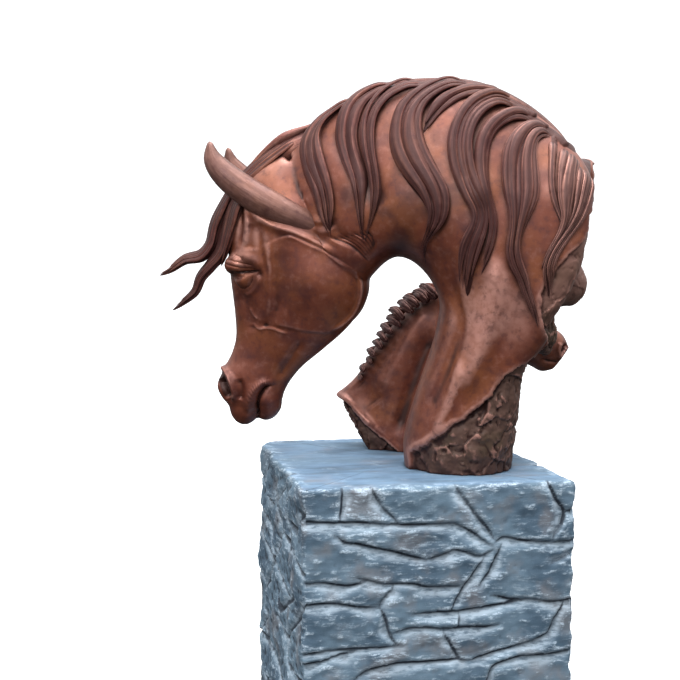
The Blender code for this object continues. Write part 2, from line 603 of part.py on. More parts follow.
def cut_flat(mesh, height, keep_above):
    """Cut the mesh with a level plane and close it with a flat face."""
    cut = bmesh.new()
    cut.from_mesh(mesh)
    geometry = cut.verts[:] + cut.edges[:] + cut.faces[:]
    result = bmesh.ops.bisect_plane(cut, geom=geometry, plane_co=(0, 0, height), plane_no=(0, 0, 1),
                                    clear_inner=keep_above, clear_outer=not keep_above, dist=1e-6)
    rim = [item for item in result["geom_cut"] if isinstance(item, bmesh.types.BMEdge)]
    filled = bmesh.ops.edgenet_fill(cut, edges=rim)
    bmesh.ops.triangulate(cut, faces=filled["faces"])
    bmesh.ops.recalc_face_normals(cut, faces=cut.faces[:])
    cut.to_mesh(mesh)
    cut.free()


def thinned(mesh, triangles):
    """The mesh with about this many triangles, kept where the surface turns most."""
    count = sum(len(face.vertices) - 2 for face in mesh.polygons)
    return evaluated_mesh(mesh.name, mesh, "DECIMATE", ratio=min(1.0, triangles / count))


def make_cast():
    """The whole casting as one closed mesh, in its own frame with its foot at v = 0."""
    body = carved_body()
    shells = bmesh.new()
    shells.from_mesh(body)
    surface = BVHTree.FromBMesh(shells)
    for lock in MANE:
        add_lock(shells, surface, lock)
    for lock in FORELOCK:
        add_forelock(shells, lock)
    for side in (1, -1):
        add_ear(shells, EAR, EAR_HALF_WIDTHS, 0.0, side)
        add_ear(shells, FOAL_EAR, FOAL_EAR_HALF_WIDTHS, FOAL_W - 0.02, side)
    add_tufts(shells)
    add_fringe(shells, surface)
    mesh = largest_body(fused("horse_cast", shells, CARVED_VOXEL * FIGURE_HEIGHT))
    mesh = thinned(mesh, CAST_TRIANGLES)
    cut_flat(mesh, 0.0, keep_above=True)
    return mesh


def joint_depth(places, mirrored, upside_down):
    """How far each place on a face lies behind its stones, as a share of JOINT_DEPTH: deep at a
    joint, with a steep edge above it and a sloping shoulder below it."""
    depth = np.zeros(len(places))
    for joint in JOINTS:
        path = np.array(joint) / (FACE_SPAN, FACE_HEIGHT)
        if mirrored:
            path[:, 0] *= -1
        if upside_down:
            path[:, 1] = 1 - path[:, 1]
        if path[0, 0] > path[-1, 0]:
            path = path[::-1]
        distance, _, side = nearest_on_path(places, path * (PEDESTAL_WIDTH, PEDESTAL_HEIGHT))
        groove = np.exp(-(distance / JOINT_HALF_WIDTH) ** 2)
        shoulder = 0.75 * np.clip(1 - distance / SHOULDER_WIDTH, 0, 1) ** 1.4 * (side < 0)
        depth = np.maximum(depth, np.maximum(groove, shoulder))
    return depth


def block_outline():
    """Points around the pedestal from its front left corner, and the ways that they face."""
    corners = np.array(((-1, -1), (1, -1), (1, 1), (-1, 1)))
    inset = np.array((PEDESTAL_WIDTH, PEDESTAL_DEPTH)) / 2 - PEDESTAL_CORNER
    points, facing = [], []
    for number, centre in enumerate(corners * inset):
        following = corners[(number + 1) % 4] * inset
        first = math.pi + number * math.pi / 2
        for step in range(CORNER_STEPS):
            angle = first + step / CORNER_STEPS * math.pi / 2
            facing.append((math.cos(angle), math.sin(angle)))
            points.append(centre + PEDESTAL_CORNER * np.array(facing[-1]))
        count = round(np.linalg.norm(following - centre) / RELIEF_STEP)
        straight = np.array((math.cos(first + math.pi / 2), math.sin(first + math.pi / 2)))
        for step in range(count):
            facing.append(tuple(straight))
            points.append(centre + (following - centre) * step / count + PEDESTAL_CORNER * straight)
    return np.array(points), np.array(facing)


def carved_pedestal():
    """The pedestal as rings up its sides, carved inwards between the stones and cut flat at
    both ends."""
    points, facing = block_outline()
    rows = round(PEDESTAL_HEIGHT / RELIEF_STEP)
    levels = np.arange(-1, rows + 2) * PEDESTAL_HEIGHT / rows
    base = np.array([(x, y, level) for level in levels for x, y in points])
    normals = np.tile(facing, (len(levels), 1))
    depth = TOP_EDGE * np.clip((base[:, 2] - PEDESTAL_HEIGHT + TOP_EDGE) / TOP_EDGE, 0, 1) ** 2
    for normal, axis, size, mirrored, upside_down in FACES:
        along = base[:, axis] * (normal[0] - normal[1]) * PEDESTAL_WIDTH / size
        places = np.column_stack((along, base[:, 2]))
        share = np.clip(normals @ normal, 0, 1) ** 2
        depth += share * JOINT_DEPTH * joint_depth(places, mirrored, upside_down)
    swell = np.array([noise.noise(Vector((x, y, z * 1.6)) / STONE_SPAN) for x, y, z in base])
    depth += STONE_TILT * (1 - swell)
    base[:, :2] -= normals * depth[:, None]
    shells = bmesh.new()
    add_loft(shells, base.reshape(len(levels), -1, 3))
    mesh = bpy.data.meshes.new("stone_pedestal")
    shells.to_mesh(mesh)
    shells.free()
    mesh = thinned(mesh, PEDESTAL_TRIANGLES)
    cut_flat(mesh, 0.0, keep_above=True)
    cut_flat(mesh, PEDESTAL_HEIGHT, keep_above=False)
    return mesh


def material(name, colour, roughness, metallic):
    """A plain material in the colour of the piece."""
    finish = bpy.data.materials.new(name)
    finish.use_nodes = True
    shader = finish.node_tree.nodes["Principled BSDF"]
    shader.inputs["Base Color"].default_value = (*colour, 1.0)
    shader.inputs["Roughness"].default_value = roughness
    shader.inputs["Metallic"].default_value = metallic
    return finish


def place(collection, name, mesh, finish):
    """An object with this mesh and this finish, in the collection."""
    item = bpy.data.objects.new(name, mesh)
    mesh.materials.clear()
    mesh.materials.append(finish)
    collection.objects.link(item)
    return item


def build():
    """Make the statue."""
    for leftover in list(bpy.data.objects):
        bpy.data.objects.remove(leftover)
    collection = bpy.data.collections.new("horse_head_statue")
    bpy.context.scene.collection.children.link(collection)
    patina = material("brown_patina", (0.19, 0.06, 0.035), 0.42, 0.6)
    stone = material("painted_stone", (0.10, 0.16, 0.22), 0.75, 0.0)
    place(collection, "stone_pedestal", carved_pedestal(), stone)
    cast = place(collection, "horse_cast", make_cast(), patina)
    cast.location = (FIGURE_X, FIGURE_Y, PEDESTAL_HEIGHT + SEAT_GAP)
    cast.rotation_euler = (0, 0, FIGURE_TURN)


build()
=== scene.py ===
"""The looks of a horse head statue: a mare bowed over her foal, cast in one, on a stone-faced pedestal.

Metres, +Z up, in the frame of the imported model. The casting is drawn in its own upright frame: u runs
from the mare's nose towards her mane, w goes across her, away from the side that carries the mane,
and v is up. Its points are shares of FIGURE_HEIGHT, and placed() takes them into the frame.
"""
import logging
import math
from collections.abc import Sequence
from dataclasses import dataclass
from enum import Enum

import bmesh
import bpy
import numpy as np
from mathutils import Matrix, Vector, noise
from mathutils.bvhtree import BVHTree


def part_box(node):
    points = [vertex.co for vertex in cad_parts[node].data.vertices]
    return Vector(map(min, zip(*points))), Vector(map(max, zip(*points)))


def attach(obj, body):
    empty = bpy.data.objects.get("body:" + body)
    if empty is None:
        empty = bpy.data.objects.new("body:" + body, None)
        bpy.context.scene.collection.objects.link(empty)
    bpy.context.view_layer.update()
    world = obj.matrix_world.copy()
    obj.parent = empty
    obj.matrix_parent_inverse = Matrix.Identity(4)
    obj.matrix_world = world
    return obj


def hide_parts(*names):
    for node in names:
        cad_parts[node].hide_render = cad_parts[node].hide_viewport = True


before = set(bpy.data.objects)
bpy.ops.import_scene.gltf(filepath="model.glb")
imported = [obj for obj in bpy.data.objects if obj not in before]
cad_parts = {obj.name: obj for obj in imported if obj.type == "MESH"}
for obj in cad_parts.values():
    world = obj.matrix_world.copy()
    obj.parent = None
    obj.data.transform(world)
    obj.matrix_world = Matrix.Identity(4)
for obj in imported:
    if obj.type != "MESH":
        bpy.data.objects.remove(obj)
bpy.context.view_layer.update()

LOG = logging.getLogger("horse_head_statue")
Array = np.ndarray
Row = tuple[float, ...]
Rows = Sequence[Row]
Colour = tuple[float, float, float]

FIGURE_HEIGHT = 0.99
FIGURE_TURN = math.radians(-22.0)
FIGURE_X = 0.12
FIGURE_Y = -0.1
FIGURE_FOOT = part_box("horse_cast")[0].z
FOAL_W = 0.235
PATH_STEPS = 5
RELIEF_ROUNDS = 14
RELIEF_HEIGHT = 0.0022
# How far each vertex stands proud, with any painted light and shade added; the materials paint by it.
RAISED = "raised"
BARE = "bare"
SEAM = "seam"
SHOULDER = "shoulder"


class Profile(Enum):
    """The cross-section of a carved stroke."""

    ROUND = "a soft ridge or groove"
    CREASE = "a sharp-edged ridge or groove"
    EDGE = "a step up to the left of the stroke's direction, dying away inwards"


@dataclass(frozen=True)
class Stroke:
    """A line carved on the sides of an animal, or painted on them as shade, in shares of the height."""

    points: Rows
    half_width: float
    height: float
    profile: Profile = Profile.ROUND


@dataclass(frozen=True)
class Bump:
    """A rounded swelling or hollow on the sides of an animal, or a round spot of painted highlight or shade.
    """

    centre: Row
    radius: float
    height: float


@dataclass(frozen=True)
class Lock:
    """A lock of hair drawn by its middle line, from its root to its tip, in shares of the height."""

    half_width: float
    strands: int
    points: Rows


@dataclass(frozen=True)
class BroadLock:
    """A lock of hair drawn by its two edges, from its root to its tip, in shares of the height."""

    strands: int
    height: float
    left: Rows
    right: Rows


def smooth_through(rows: Rows, steps: int = PATH_STEPS) -> Array:
    """Draw a smooth curve through points.

    Args:
        rows: The points, all of one length.
        steps: The spans between each pair of points.

    Returns:
        The points of the curve.
    """
    rows = np.asarray(rows, dtype=float)
    padded = np.vstack((2 * rows[0] - rows[1], rows, 2 * rows[-1] - rows[-2]))
    curve = []
    for first, second, third, fourth in zip(padded, padded[1:], padded[2:], padded[3:]):
        for step in range(steps):
            t = step / steps
            curve.append(0.5 * (2 * second + (third - first) * t
                                + (2 * first - 5 * second + 4 * third - fourth) * t ** 2
                                + (3 * second - first - 3 * third + fourth) * t ** 3))
    curve.append(rows[-1])
    return np.array(curve)


def lengths_along(path: Array) -> Array:
    """Return the distance of each point of a path from its start, along it."""
    return np.concatenate(([0.0], np.cumsum(np.linalg.norm(np.diff(path, axis=0), axis=1))))


def evenly_spaced(path: Array, spacing: float) -> Array:
    """Walk along a path in equal steps.

    Args:
        path: The points of the path.
        spacing: About how far apart the new points are.

    Returns:
        The new points, with the path's own ends.
    """
    return shared_out(path, max(4, round(lengths_along(path)[-1] / spacing) + 1))


def shared_out(path: Array, count: int) -> Array:
    """Return this many points, evenly spaced along a path."""
    lengths = lengths_along(path)
    marks = np.linspace(0, lengths[-1], count)
    return np.column_stack([np.interp(marks, lengths, column) for column in path.T])


def nearest_on_path(places: Array, path: Array) -> tuple[Array, Array, Array, Array]:
    """Measure places on a plane against a path.

    Args:
        places: The places, as rows of two numbers.
        path: The points of the path.

    Returns:
        For each place its distance, the share of the path at its nearest point, its side, which is 1
        to the left of the path's direction and -1 to the right, and its offset from the path.
    """
    best = np.full(len(places), np.inf)
    offsets = np.zeros((len(places), 2))
    share = np.zeros(len(places))
    side = np.zeros(len(places))
    lengths = lengths_along(path)
    for index, (start, end) in enumerate(zip(path, path[1:])):
        span = end - start
        offset = places - start
        along = np.clip(offset @ span / (span @ span), 0, 1)
        away = offset - np.outer(along, span)
        distance = np.hypot(away[:, 0], away[:, 1])
        closer = distance < best
        best[closer] = distance[closer]
        reached = lengths[index] + along * (lengths[index + 1] - lengths[index])
        share[closer] = (reached / lengths[-1])[closer]
        side[closer] = np.sign(span[0] * offset[:, 1] - span[1] * offset[:, 0])[closer]
        offsets[closer] = away[closer]
    return best, share, side, offsets


def inside(places: Array, outline: Array) -> Array:
    """Return which places lie inside a closed outline."""
    hits = np.zeros(len(places), dtype=bool)
    for (x1, y1), (x2, y2) in zip(outline, np.roll(outline, -1, axis=0)):
        if y1 == y2:
            continue
        crosses = (y1 > places[:, 1]) != (y2 > places[:, 1])
        at = (x2 - x1) * (places[:, 1] - y1) / (y2 - y1) + x1
        hits ^= crosses & (places[:, 0] < at)
    return hits


def eased(values: Array) -> Array:
    """Return values from 0 to 1 with a soft start and end."""
    values = np.clip(values, 0, 1)
    return values * values * (3 - 2 * values)


def placed(points: Array) -> Array:
    """Turn and move points (u, w, v) of the casting into the frame."""
    cosine, sine = math.cos(FIGURE_TURN), math.sin(FIGURE_TURN)
    across, along, up = points.T
    return np.column_stack((FIGURE_X + across * cosine - along * sine,
                            FIGURE_Y + across * sine + along * cosine, FIGURE_FOOT + up))


def stroke_moves(places: Array, stroke: Stroke) -> Array:
    """Return how far a stroke moves each place, in shares of the height."""
    path = smooth_through(stroke.points)
    reach = stroke.half_width * (14 if stroke.profile is Profile.EDGE else 5)
    near = np.all((places > path.min(0) - reach) & (places < path.max(0) + reach), axis=1)
    moves = np.zeros(len(places))
    if not near.any():
        return moves
    distance, share, side, _ = nearest_on_path(places[near], path)
    ends = np.clip(np.minimum(share, 1 - share) * 6, 0.2, 1)
    across = distance / stroke.half_width
    if stroke.profile is Profile.ROUND:
        shape = np.exp(-across ** 2)
    elif stroke.profile is Profile.CREASE:
        shape = np.exp(-across)
    else:
        signed = across * side
        shape = eased((signed + 1) / 2) * np.exp(-np.maximum(signed, 0) / 5)
    moves[near] = stroke.height * ends * shape
    return moves


def drawn_on_sides(points: Array, strokes: Sequence[Stroke], swellings: Sequence[Bump]) -> Array:
    """Add up the strokes and the swellings drawn on the sides of an animal.

    Args:
        points: The points of its surface.
        strokes: The lines drawn on it.
        swellings: Its rounded spots.

    Returns:
        The sum of their heights at each point.
    """
    places = points[:, [0, 2]] / FIGURE_HEIGHT
    total = np.zeros(len(points))
    for stroke in strokes:
        total += stroke_moves(places, stroke)
    for swelling in swellings:
        distance = np.hypot(*(places - swelling.centre).T)
        total += swelling.height * np.exp(-(distance / swelling.radius) ** 2)
    return total


def carved_moves(points: Array, normals: Array, strokes: Sequence[Stroke],
                 swellings: Sequence[Bump]) -> Array:
    """Work out the carving on the sides of an animal.

    Args:
        points: The points of its surface.
        normals: The directions that they face.
        strokes: The lines carved on it.
        swellings: Its rounded swellings.

    Returns:
        How far each point moves out, in metres.
    """
    facing = np.clip(np.abs(normals[:, 1]) * 2.0, 0, 1)
    return drawn_on_sides(points, strokes, swellings) * FIGURE_HEIGHT * facing


def rock_relief(point: Array, chunk: float, relief: float) -> float:
    """Shape broken rock.

    Args:
        point: A point of the rock's surface.
        chunk: How wide its chunks are.
        relief: How far they stand out.

    Returns:
        How far the point stands out.
    """
    where = Vector(point) / chunk
    distances, cells = noise.voronoi(where)
    tilt = noise.cell_vector(cells[0] * 7.3) - Vector((0.5, 0.5, 0.5))
    slope = (where - cells[0]).dot(tilt)
    edge = min(1.0, (distances[1] - distances[0]) * 3)
    return relief * (1.3 * slope + 0.06 * edge + 0.35 * noise.noise(where * 2.7) - 0.5)


def add_sheet(shells: bmesh.types.BMesh, rows: Array, raised: Array | None = None) -> None:
    """Add a grid bent through rows of points. Points that coincide are welded later.

    Args:
        shells: The mesh that it goes into.
        rows: The points, as rows, columns and three numbers.
        raised: How far each point stands proud, from -1 to 1, with any painted light and shade in it.
    """
    shells.loops.layers.uv.verify()
    layer = shells.verts.layers.float.get(RAISED) or shells.verts.layers.float.new(RAISED)
    made = bmesh.ops.create_grid(shells, x_segments=rows.shape[1] - 1, y_segments=rows.shape[0] - 1,
                                 size=1.0, calc_uvs=True)
    heights = np.zeros(rows.shape[:2]) if raised is None else raised
    for vertex, point, height in zip(made["verts"], rows.reshape(-1, 3), heights.ravel()):
        vertex.co = point
        vertex[layer] = height


def add_knob(shells: bmesh.types.BMesh, centre: Row, radii: Row) -> None:
    """Add a rounded knob of core, from its centre and its radii in shares of the height."""
    made = bmesh.ops.create_icosphere(shells, subdivisions=4, radius=1.0)
    stretch = Matrix.LocRotScale(Vector(centre), None, Vector(radii))
    bmesh.ops.transform(shells, matrix=Matrix.Scale(FIGURE_HEIGHT, 4) @ stretch, verts=made["verts"])


def tube_rows(path: Array, sides: Array, half_widths: Array, thicknesses: Array, columns: int,
              ridges: int = 0, ridge_share: float = 0.0, phase: float = 0.0,
              scoop: float = 0.0) -> tuple[Array, Array]:
    """Lay a tapering tube along a path, closed to a point at both ends.

    Args:
        path: The middle of the tube.
        sides: The direction across its width at each point.
        half_widths: Half its width at each point.
        thicknesses: Half its thickness at each point.
        columns: The sides of its section.
        ridges: The fine ridges around it, or 0.
        ridge_share: Their height as a share of its size.
        phase: Where the first ridge lies, in radians.
        scoop: How deep one face is hollowed, as a share of the thickness.

    Returns:
        The rows of points for add_sheet, and painted light and shade: outer faces lighter, inner darker.
    """
    tangents = np.gradient(path, axis=0)
    tangents /= np.linalg.norm(tangents, axis=1)[:, None]
    sides = sides - tangents * np.sum(sides * tangents, axis=1)[:, None]
    sides = sides / np.linalg.norm(sides, axis=1)[:, None]
    lifts = np.cross(tangents, sides)
    angles = np.arange(columns + 1) * math.tau / columns
    turn = (phase + 0.9 * np.sin(np.linspace(0, 5, len(path)) + phase))[:, None]
    broad, narrow = np.cos(ridges * angles + turn), np.cos((ridges + 3) * angles - 2 * turn)
    fine = (0.6 * broad + 0.4 * narrow) * (ridges > 0)
    size = 1 + ridge_share * fine
    hollow = 1 - scoop * np.maximum(0, -np.sin(angles)) ** 2
    across = half_widths[:, None] * np.cos(angles) * size
    out = thicknesses[:, None] * np.sin(angles) * size * hollow
    rows = path[:, None] + across[:, :, None] * sides[:, None] + out[:, :, None] * lifts[:, None]
    rows[0] = path[0]
    rows[-1] = path[-1]
    # Painted light and shade: the outer face lighter, the inner face darker, the fine ridges lighter.
    return rows, np.clip(0.75 * np.sin(angles) + 0.26 * fine, -1, 1)


def welded(name: str, shells: bmesh.types.BMesh) -> bpy.types.Mesh:
    """Close the seams and poles of a mesh of shells, face it outwards and free it.

    Args:
        name: The name of the new mesh.
        shells: The mesh of shells.

    Returns:
        The mesh.
    """
    bmesh.ops.remove_doubles(shells, verts=shells.verts[:], dist=1e-6)
    bmesh.ops.recalc_face_normals(shells, faces=shells.faces[:])
    mesh = bpy.data.meshes.new(name)
    shells.to_mesh(mesh)
    shells.free()
    return mesh


def applied(mesh: bpy.types.Mesh, kind: str, **settings: object) -> bpy.types.Mesh:
    """Put a mesh through one modifier.

    Args:
        mesh: The mesh, which is used up.
        kind: The kind of modifier.
        settings: Its settings.

    Returns:
        The new mesh.
    """
    carrier = bpy.data.objects.new(mesh.name, mesh)
    bpy.context.scene.collection.objects.link(carrier)
    modifier = carrier.modifiers.new("shaping", kind)
    for name, value in settings.items():
        setattr(modifier, name, value)
    graph = bpy.context.evaluated_depsgraph_get()
    result = bpy.data.meshes.new_from_object(carrier.evaluated_get(graph))
    bpy.data.objects.remove(carrier)
    bpy.data.meshes.remove(mesh)
    return result


def fused(mesh: bpy.types.Mesh, voxel: float) -> bpy.types.Mesh:
    """Put one skin of faces of this size around all the shells of a mesh that overlap."""
    return applied(mesh, "REMESH", mode="VOXEL", voxel_size=voxel)


def thinned(mesh: bpy.types.Mesh, most_triangles: int) -> bpy.types.Mesh:
    """Merge the flattest faces of a mesh until it has no more than this many triangles."""
    triangles = sum(len(face.vertices) - 2 for face in mesh.polygons)
    return applied(mesh, "DECIMATE", ratio=min(1.0, most_triangles / triangles))


class Surface:
    """A mesh's vertices as arrays, to be moved and written back."""

    def __init__(self, mesh: bpy.types.Mesh) -> None:
        """Read a mesh.

        Args:
            mesh: The mesh, which keeps its faces.
        """
        self.mesh = mesh
        self.count = len(mesh.vertices)
        edges = np.empty(len(mesh.edges) * 2, dtype=np.int32)
        mesh.edges.foreach_get("vertices", edges)
        self.edges = edges.reshape(-1, 2)
        self.links = np.bincount(edges, minlength=self.count).astype(float)
        self.read()

    def read(self) -> None:
        """Read the places and the normals of the vertices."""
        places = np.empty(self.count * 3)
        facing = np.empty(self.count * 3)
        self.mesh.vertices.foreach_get("co", places)
        self.mesh.vertices.foreach_get("normal", facing)
        self.points = places.reshape(-1, 3)
        self.normals = facing.reshape(-1, 3)

    def write(self, points: Array) -> None:
        """Move the vertices to these points."""
        self.mesh.vertices.foreach_set("co", points.ravel())
        self.mesh.update()
        self.read()

    def push(self, moves: Array) -> None:
        """Move the vertices out along their normals."""
        self.write(self.points + self.normals * moves[:, None])

    def averaged(self, values: Array) -> Array:
        """Return the mean of each vertex's neighbours, of values in rows."""
        first, second = self.edges.T
        columns = [np.bincount(first, weights=column[second], minlength=self.count)
                   + np.bincount(second, weights=column[first], minlength=self.count) for column in values.T]
        return np.column_stack(columns) / self.links[:, None]

    def relax(self, rounds: int, inwards: float = 0.5, back: float = 0.48) -> None:
        """Smooth the surface without shrinking it.

        Args:
            rounds: How often it is smoothed.
            inwards: How far each vertex goes towards the mean of its neighbours.
            back: How far it then goes back.
        """
        points = self.points
        for _ in range(rounds):
            points = points + inwards * (self.averaged(points) - points)
            points = points - back * (self.averaged(points) - points)
        self.write(points)

    def mark_raised(self, rounds: int, scale: float, painted_light_and_shade: Array | float = 0.0) -> None:
        """Store how far each vertex stands proud of the smoothed surface, with painted light and shade added.

        Args:
            rounds: How much the surface is smoothed for this.
            scale: The height that counts as fully proud.
            painted_light_and_shade: Painted highlight above 0 and painted shade below 0, added to each vertex.
        """
        points = self.points
        for _ in range(rounds):
            points = points + 0.6 * (self.averaged(points) - points)
        heights = np.sum((self.points - points) * self.normals, axis=1) / scale + painted_light_and_shade
        self.store(RAISED, np.clip(heights, -1, 1))

    def store(self, name: str, values: Array) -> None:
        """Store one number for each vertex under a name."""
        old = self.mesh.attributes.get(name)
        layer = old or self.mesh.attributes.new(name, "FLOAT", "POINT")
        layer.data.foreach_set("value", values.astype(np.float32))


def refined(mesh: bpy.types.Mesh, regions: Sequence[Rows]) -> bpy.types.Mesh:
    """Divide the faces of a mesh inside each region in turn.

    Args:
        mesh: The mesh, in the casting's own frame.
        regions: The outlines on the animal's side, each inside the one before.

    Returns:
        The same mesh.
    """
    shells = bmesh.new()
    shells.from_mesh(mesh)
    for region in regions:
        middles = np.array([face.calc_center_median()[:] for face in shells.faces])
        chosen = inside(middles[:, [0, 2]] / FIGURE_HEIGHT, np.asarray(region))
        edges = {edge for face, keep in zip(shells.faces, chosen) if keep for edge in face.edges}
        bmesh.ops.subdivide_edges(shells, edges=list(edges), cuts=1, use_grid_fill=True)
    bmesh.ops.triangulate(shells, faces=[face for face in shells.faces if len(face.verts) > 4])
    shells.to_mesh(mesh)
    shells.free()
    return mesh


def cut_level(mesh: bpy.types.Mesh, height: float) -> None:
    """Cut away what lies below a height and close the cut."""
    cut = bmesh.new()
    cut.from_mesh(mesh)
    geometry = cut.verts[:] + cut.edges[:] + cut.faces[:]
    result = bmesh.ops.bisect_plane(cut, geom=geometry, plane_co=(0, 0, height), plane_no=(0, 0, 1),
                                    clear_inner=True, clear_outer=False, dist=1e-6)
    rim = [item for item in result["geom_cut"] if isinstance(item, bmesh.types.BMEdge)]
    filled = bmesh.ops.edgenet_fill(cut, edges=rim)
    bmesh.ops.triangulate(cut, faces=filled["faces"])
    bmesh.ops.recalc_face_normals(cut, faces=cut.faces[:])
    cut.to_mesh(mesh)
    cut.free()


def finished_piece(name: str, mesh: bpy.types.Mesh, finish: bpy.types.Material, node: str) -> bpy.types.Object:
    """Make a piece of the statue from its mesh.

    Args:
        name: The piece's name.
        mesh: Its mesh, in the frame.
        finish: Its material.
        node: The solid that it stands for.

    Returns:
        The piece.
    """
    mesh.name = name
    mesh.materials.clear()
    mesh.materials.append(finish)
    mesh.shade_smooth()
    piece = bpy.data.objects.new(name, mesh)
    bpy.context.scene.collection.objects.link(piece)
    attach(piece, "root")
    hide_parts(node)
    LOG.info("%s: %d faces", name, len(mesh.polygons))
    return piece


def cast_piece(name: str, mesh: bpy.types.Mesh, finish: bpy.types.Material) -> bpy.types.Object:
    """Take a mesh from the casting's own frame into the frame and make it a piece of the casting."""
    surface = Surface(mesh)
    surface.write(placed(surface.points))
    return finished_piece(name, mesh, finish, "horse_cast")


@dataclass(frozen=True)
class Sculpting:
    """How finely the bodies are built."""

    ring_points: int = 96
    ring_steps: int = 8
    skin_thickness: float = 0.008
    tear_raggedness: float = 0.004
    rock_chunk: float = 0.075
    rock_relief: float = 0.014
    crumb_chunk: float = 0.03
    crumb_relief: float = 0.0028
    pit_chunk: float = 0.016
    pit_depth: float = 0.014

    def ring(self, row: Array, across: float) -> Array:
        """Draw one closed section of a body.

        Args:
            row: Its outer and inner point, half width, squareness and narrowing.
            across: The body's middle plane.

        Returns:
            Its points (u, w, v), the first repeated at the end.
        """
        outer, inner = row[0:2] * FIGURE_HEIGHT, row[2:4] * FIGURE_HEIGHT
        half_width, squareness, narrowing = row[4:7]
        angles = np.arange(self.ring_points + 1) * math.tau / self.ring_points
        cosines, sines = np.cos(angles), np.sin(angles)
        power = 2 / np.where(cosines > 0, squareness, 2.2)
        along = np.sign(cosines) * np.abs(cosines) ** power
        sideways = np.sign(sines) * np.abs(sines) ** power * (1 - narrowing * along)
        middle, reach = (outer + inner) / 2, (outer - inner) / 2
        return np.column_stack((middle[0] + reach[0] * along,
                                across + half_width * FIGURE_HEIGHT * sideways,
                                middle[1] + reach[1] * along))

    def add_body(self, shells: bmesh.types.BMesh, sections: Sequence[tuple], across: float) -> None:
        """Add a closed body through all of its sections."""
        rows = [(*outer, *inner, *sizes) for outer, inner, *sizes in sections]
        rings = [self.ring(row, across) for row in smooth_through(rows, self.ring_steps)]
        poles = [np.tile(ring[:-1].mean(axis=0), (len(ring), 1)) for ring in (rings[0], rings[-1])]
        add_sheet(shells, np.array([poles[0], *rings, poles[1]]))

    def tear(self, surface: Surface, tear: Rows, bare_side: Rows, allowed: Array) -> Array:
        """Tear the skin off a body and roughen the core under it.

        Args:
            surface: The body's surface.
            tear: The torn edge.
            bare_side: The points around the bare side of it.
            allowed: Which vertices may be bare.

        Returns:
            How bare each vertex is, from 0 to 1.
        """
        places = surface.points[:, [0, 2]] / FIGURE_HEIGHT
        edge = smooth_through(tear)
        bare = inside(places, np.vstack((edge, bare_side))) & allowed
        distance = nearest_on_path(places, edge)[0]
        signed = np.where(bare, distance, -distance) * FIGURE_HEIGHT
        near = (signed > -0.05) & allowed
        ragged = np.array([noise.noise(Vector(point) * 55) + 0.6 * noise.noise(Vector(point) * 140) if close
                           else 0.0 for point, close in zip(surface.points, near)])
        signed = signed + self.tear_raggedness * ragged
        depth = eased(signed / (0.6 * self.skin_thickness)) * allowed
        skin = self.skin_thickness
        rim = 0.18 * skin * np.exp(-((signed + skin) / skin) ** 2)
        relief = [self.rough(point) if share > 0.01 else 0.0 for point, share in zip(surface.points, depth)]
        surface.push(rim * allowed + depth * (np.array(relief) - self.skin_thickness))
        return depth

    def rough(self, point: Array) -> float:
        """Return how far a point of the rough core stands out."""
        where = Vector(point)
        crumbs = self.crumb_relief * noise.fractal(where / self.crumb_chunk, 0.7, 2.1, 4)
        pits = self.pit_depth * max(0.0, noise.noise(where / self.pit_chunk) - 0.25)
        rough = rock_relief(point, self.rock_chunk, self.rock_relief * FIGURE_HEIGHT) + crumbs - pits
        return rough * (1 - 0.6 * float(eased((point[2] / FIGURE_HEIGHT - 0.36) / 0.08)))


SCULPTING = Sculpting()


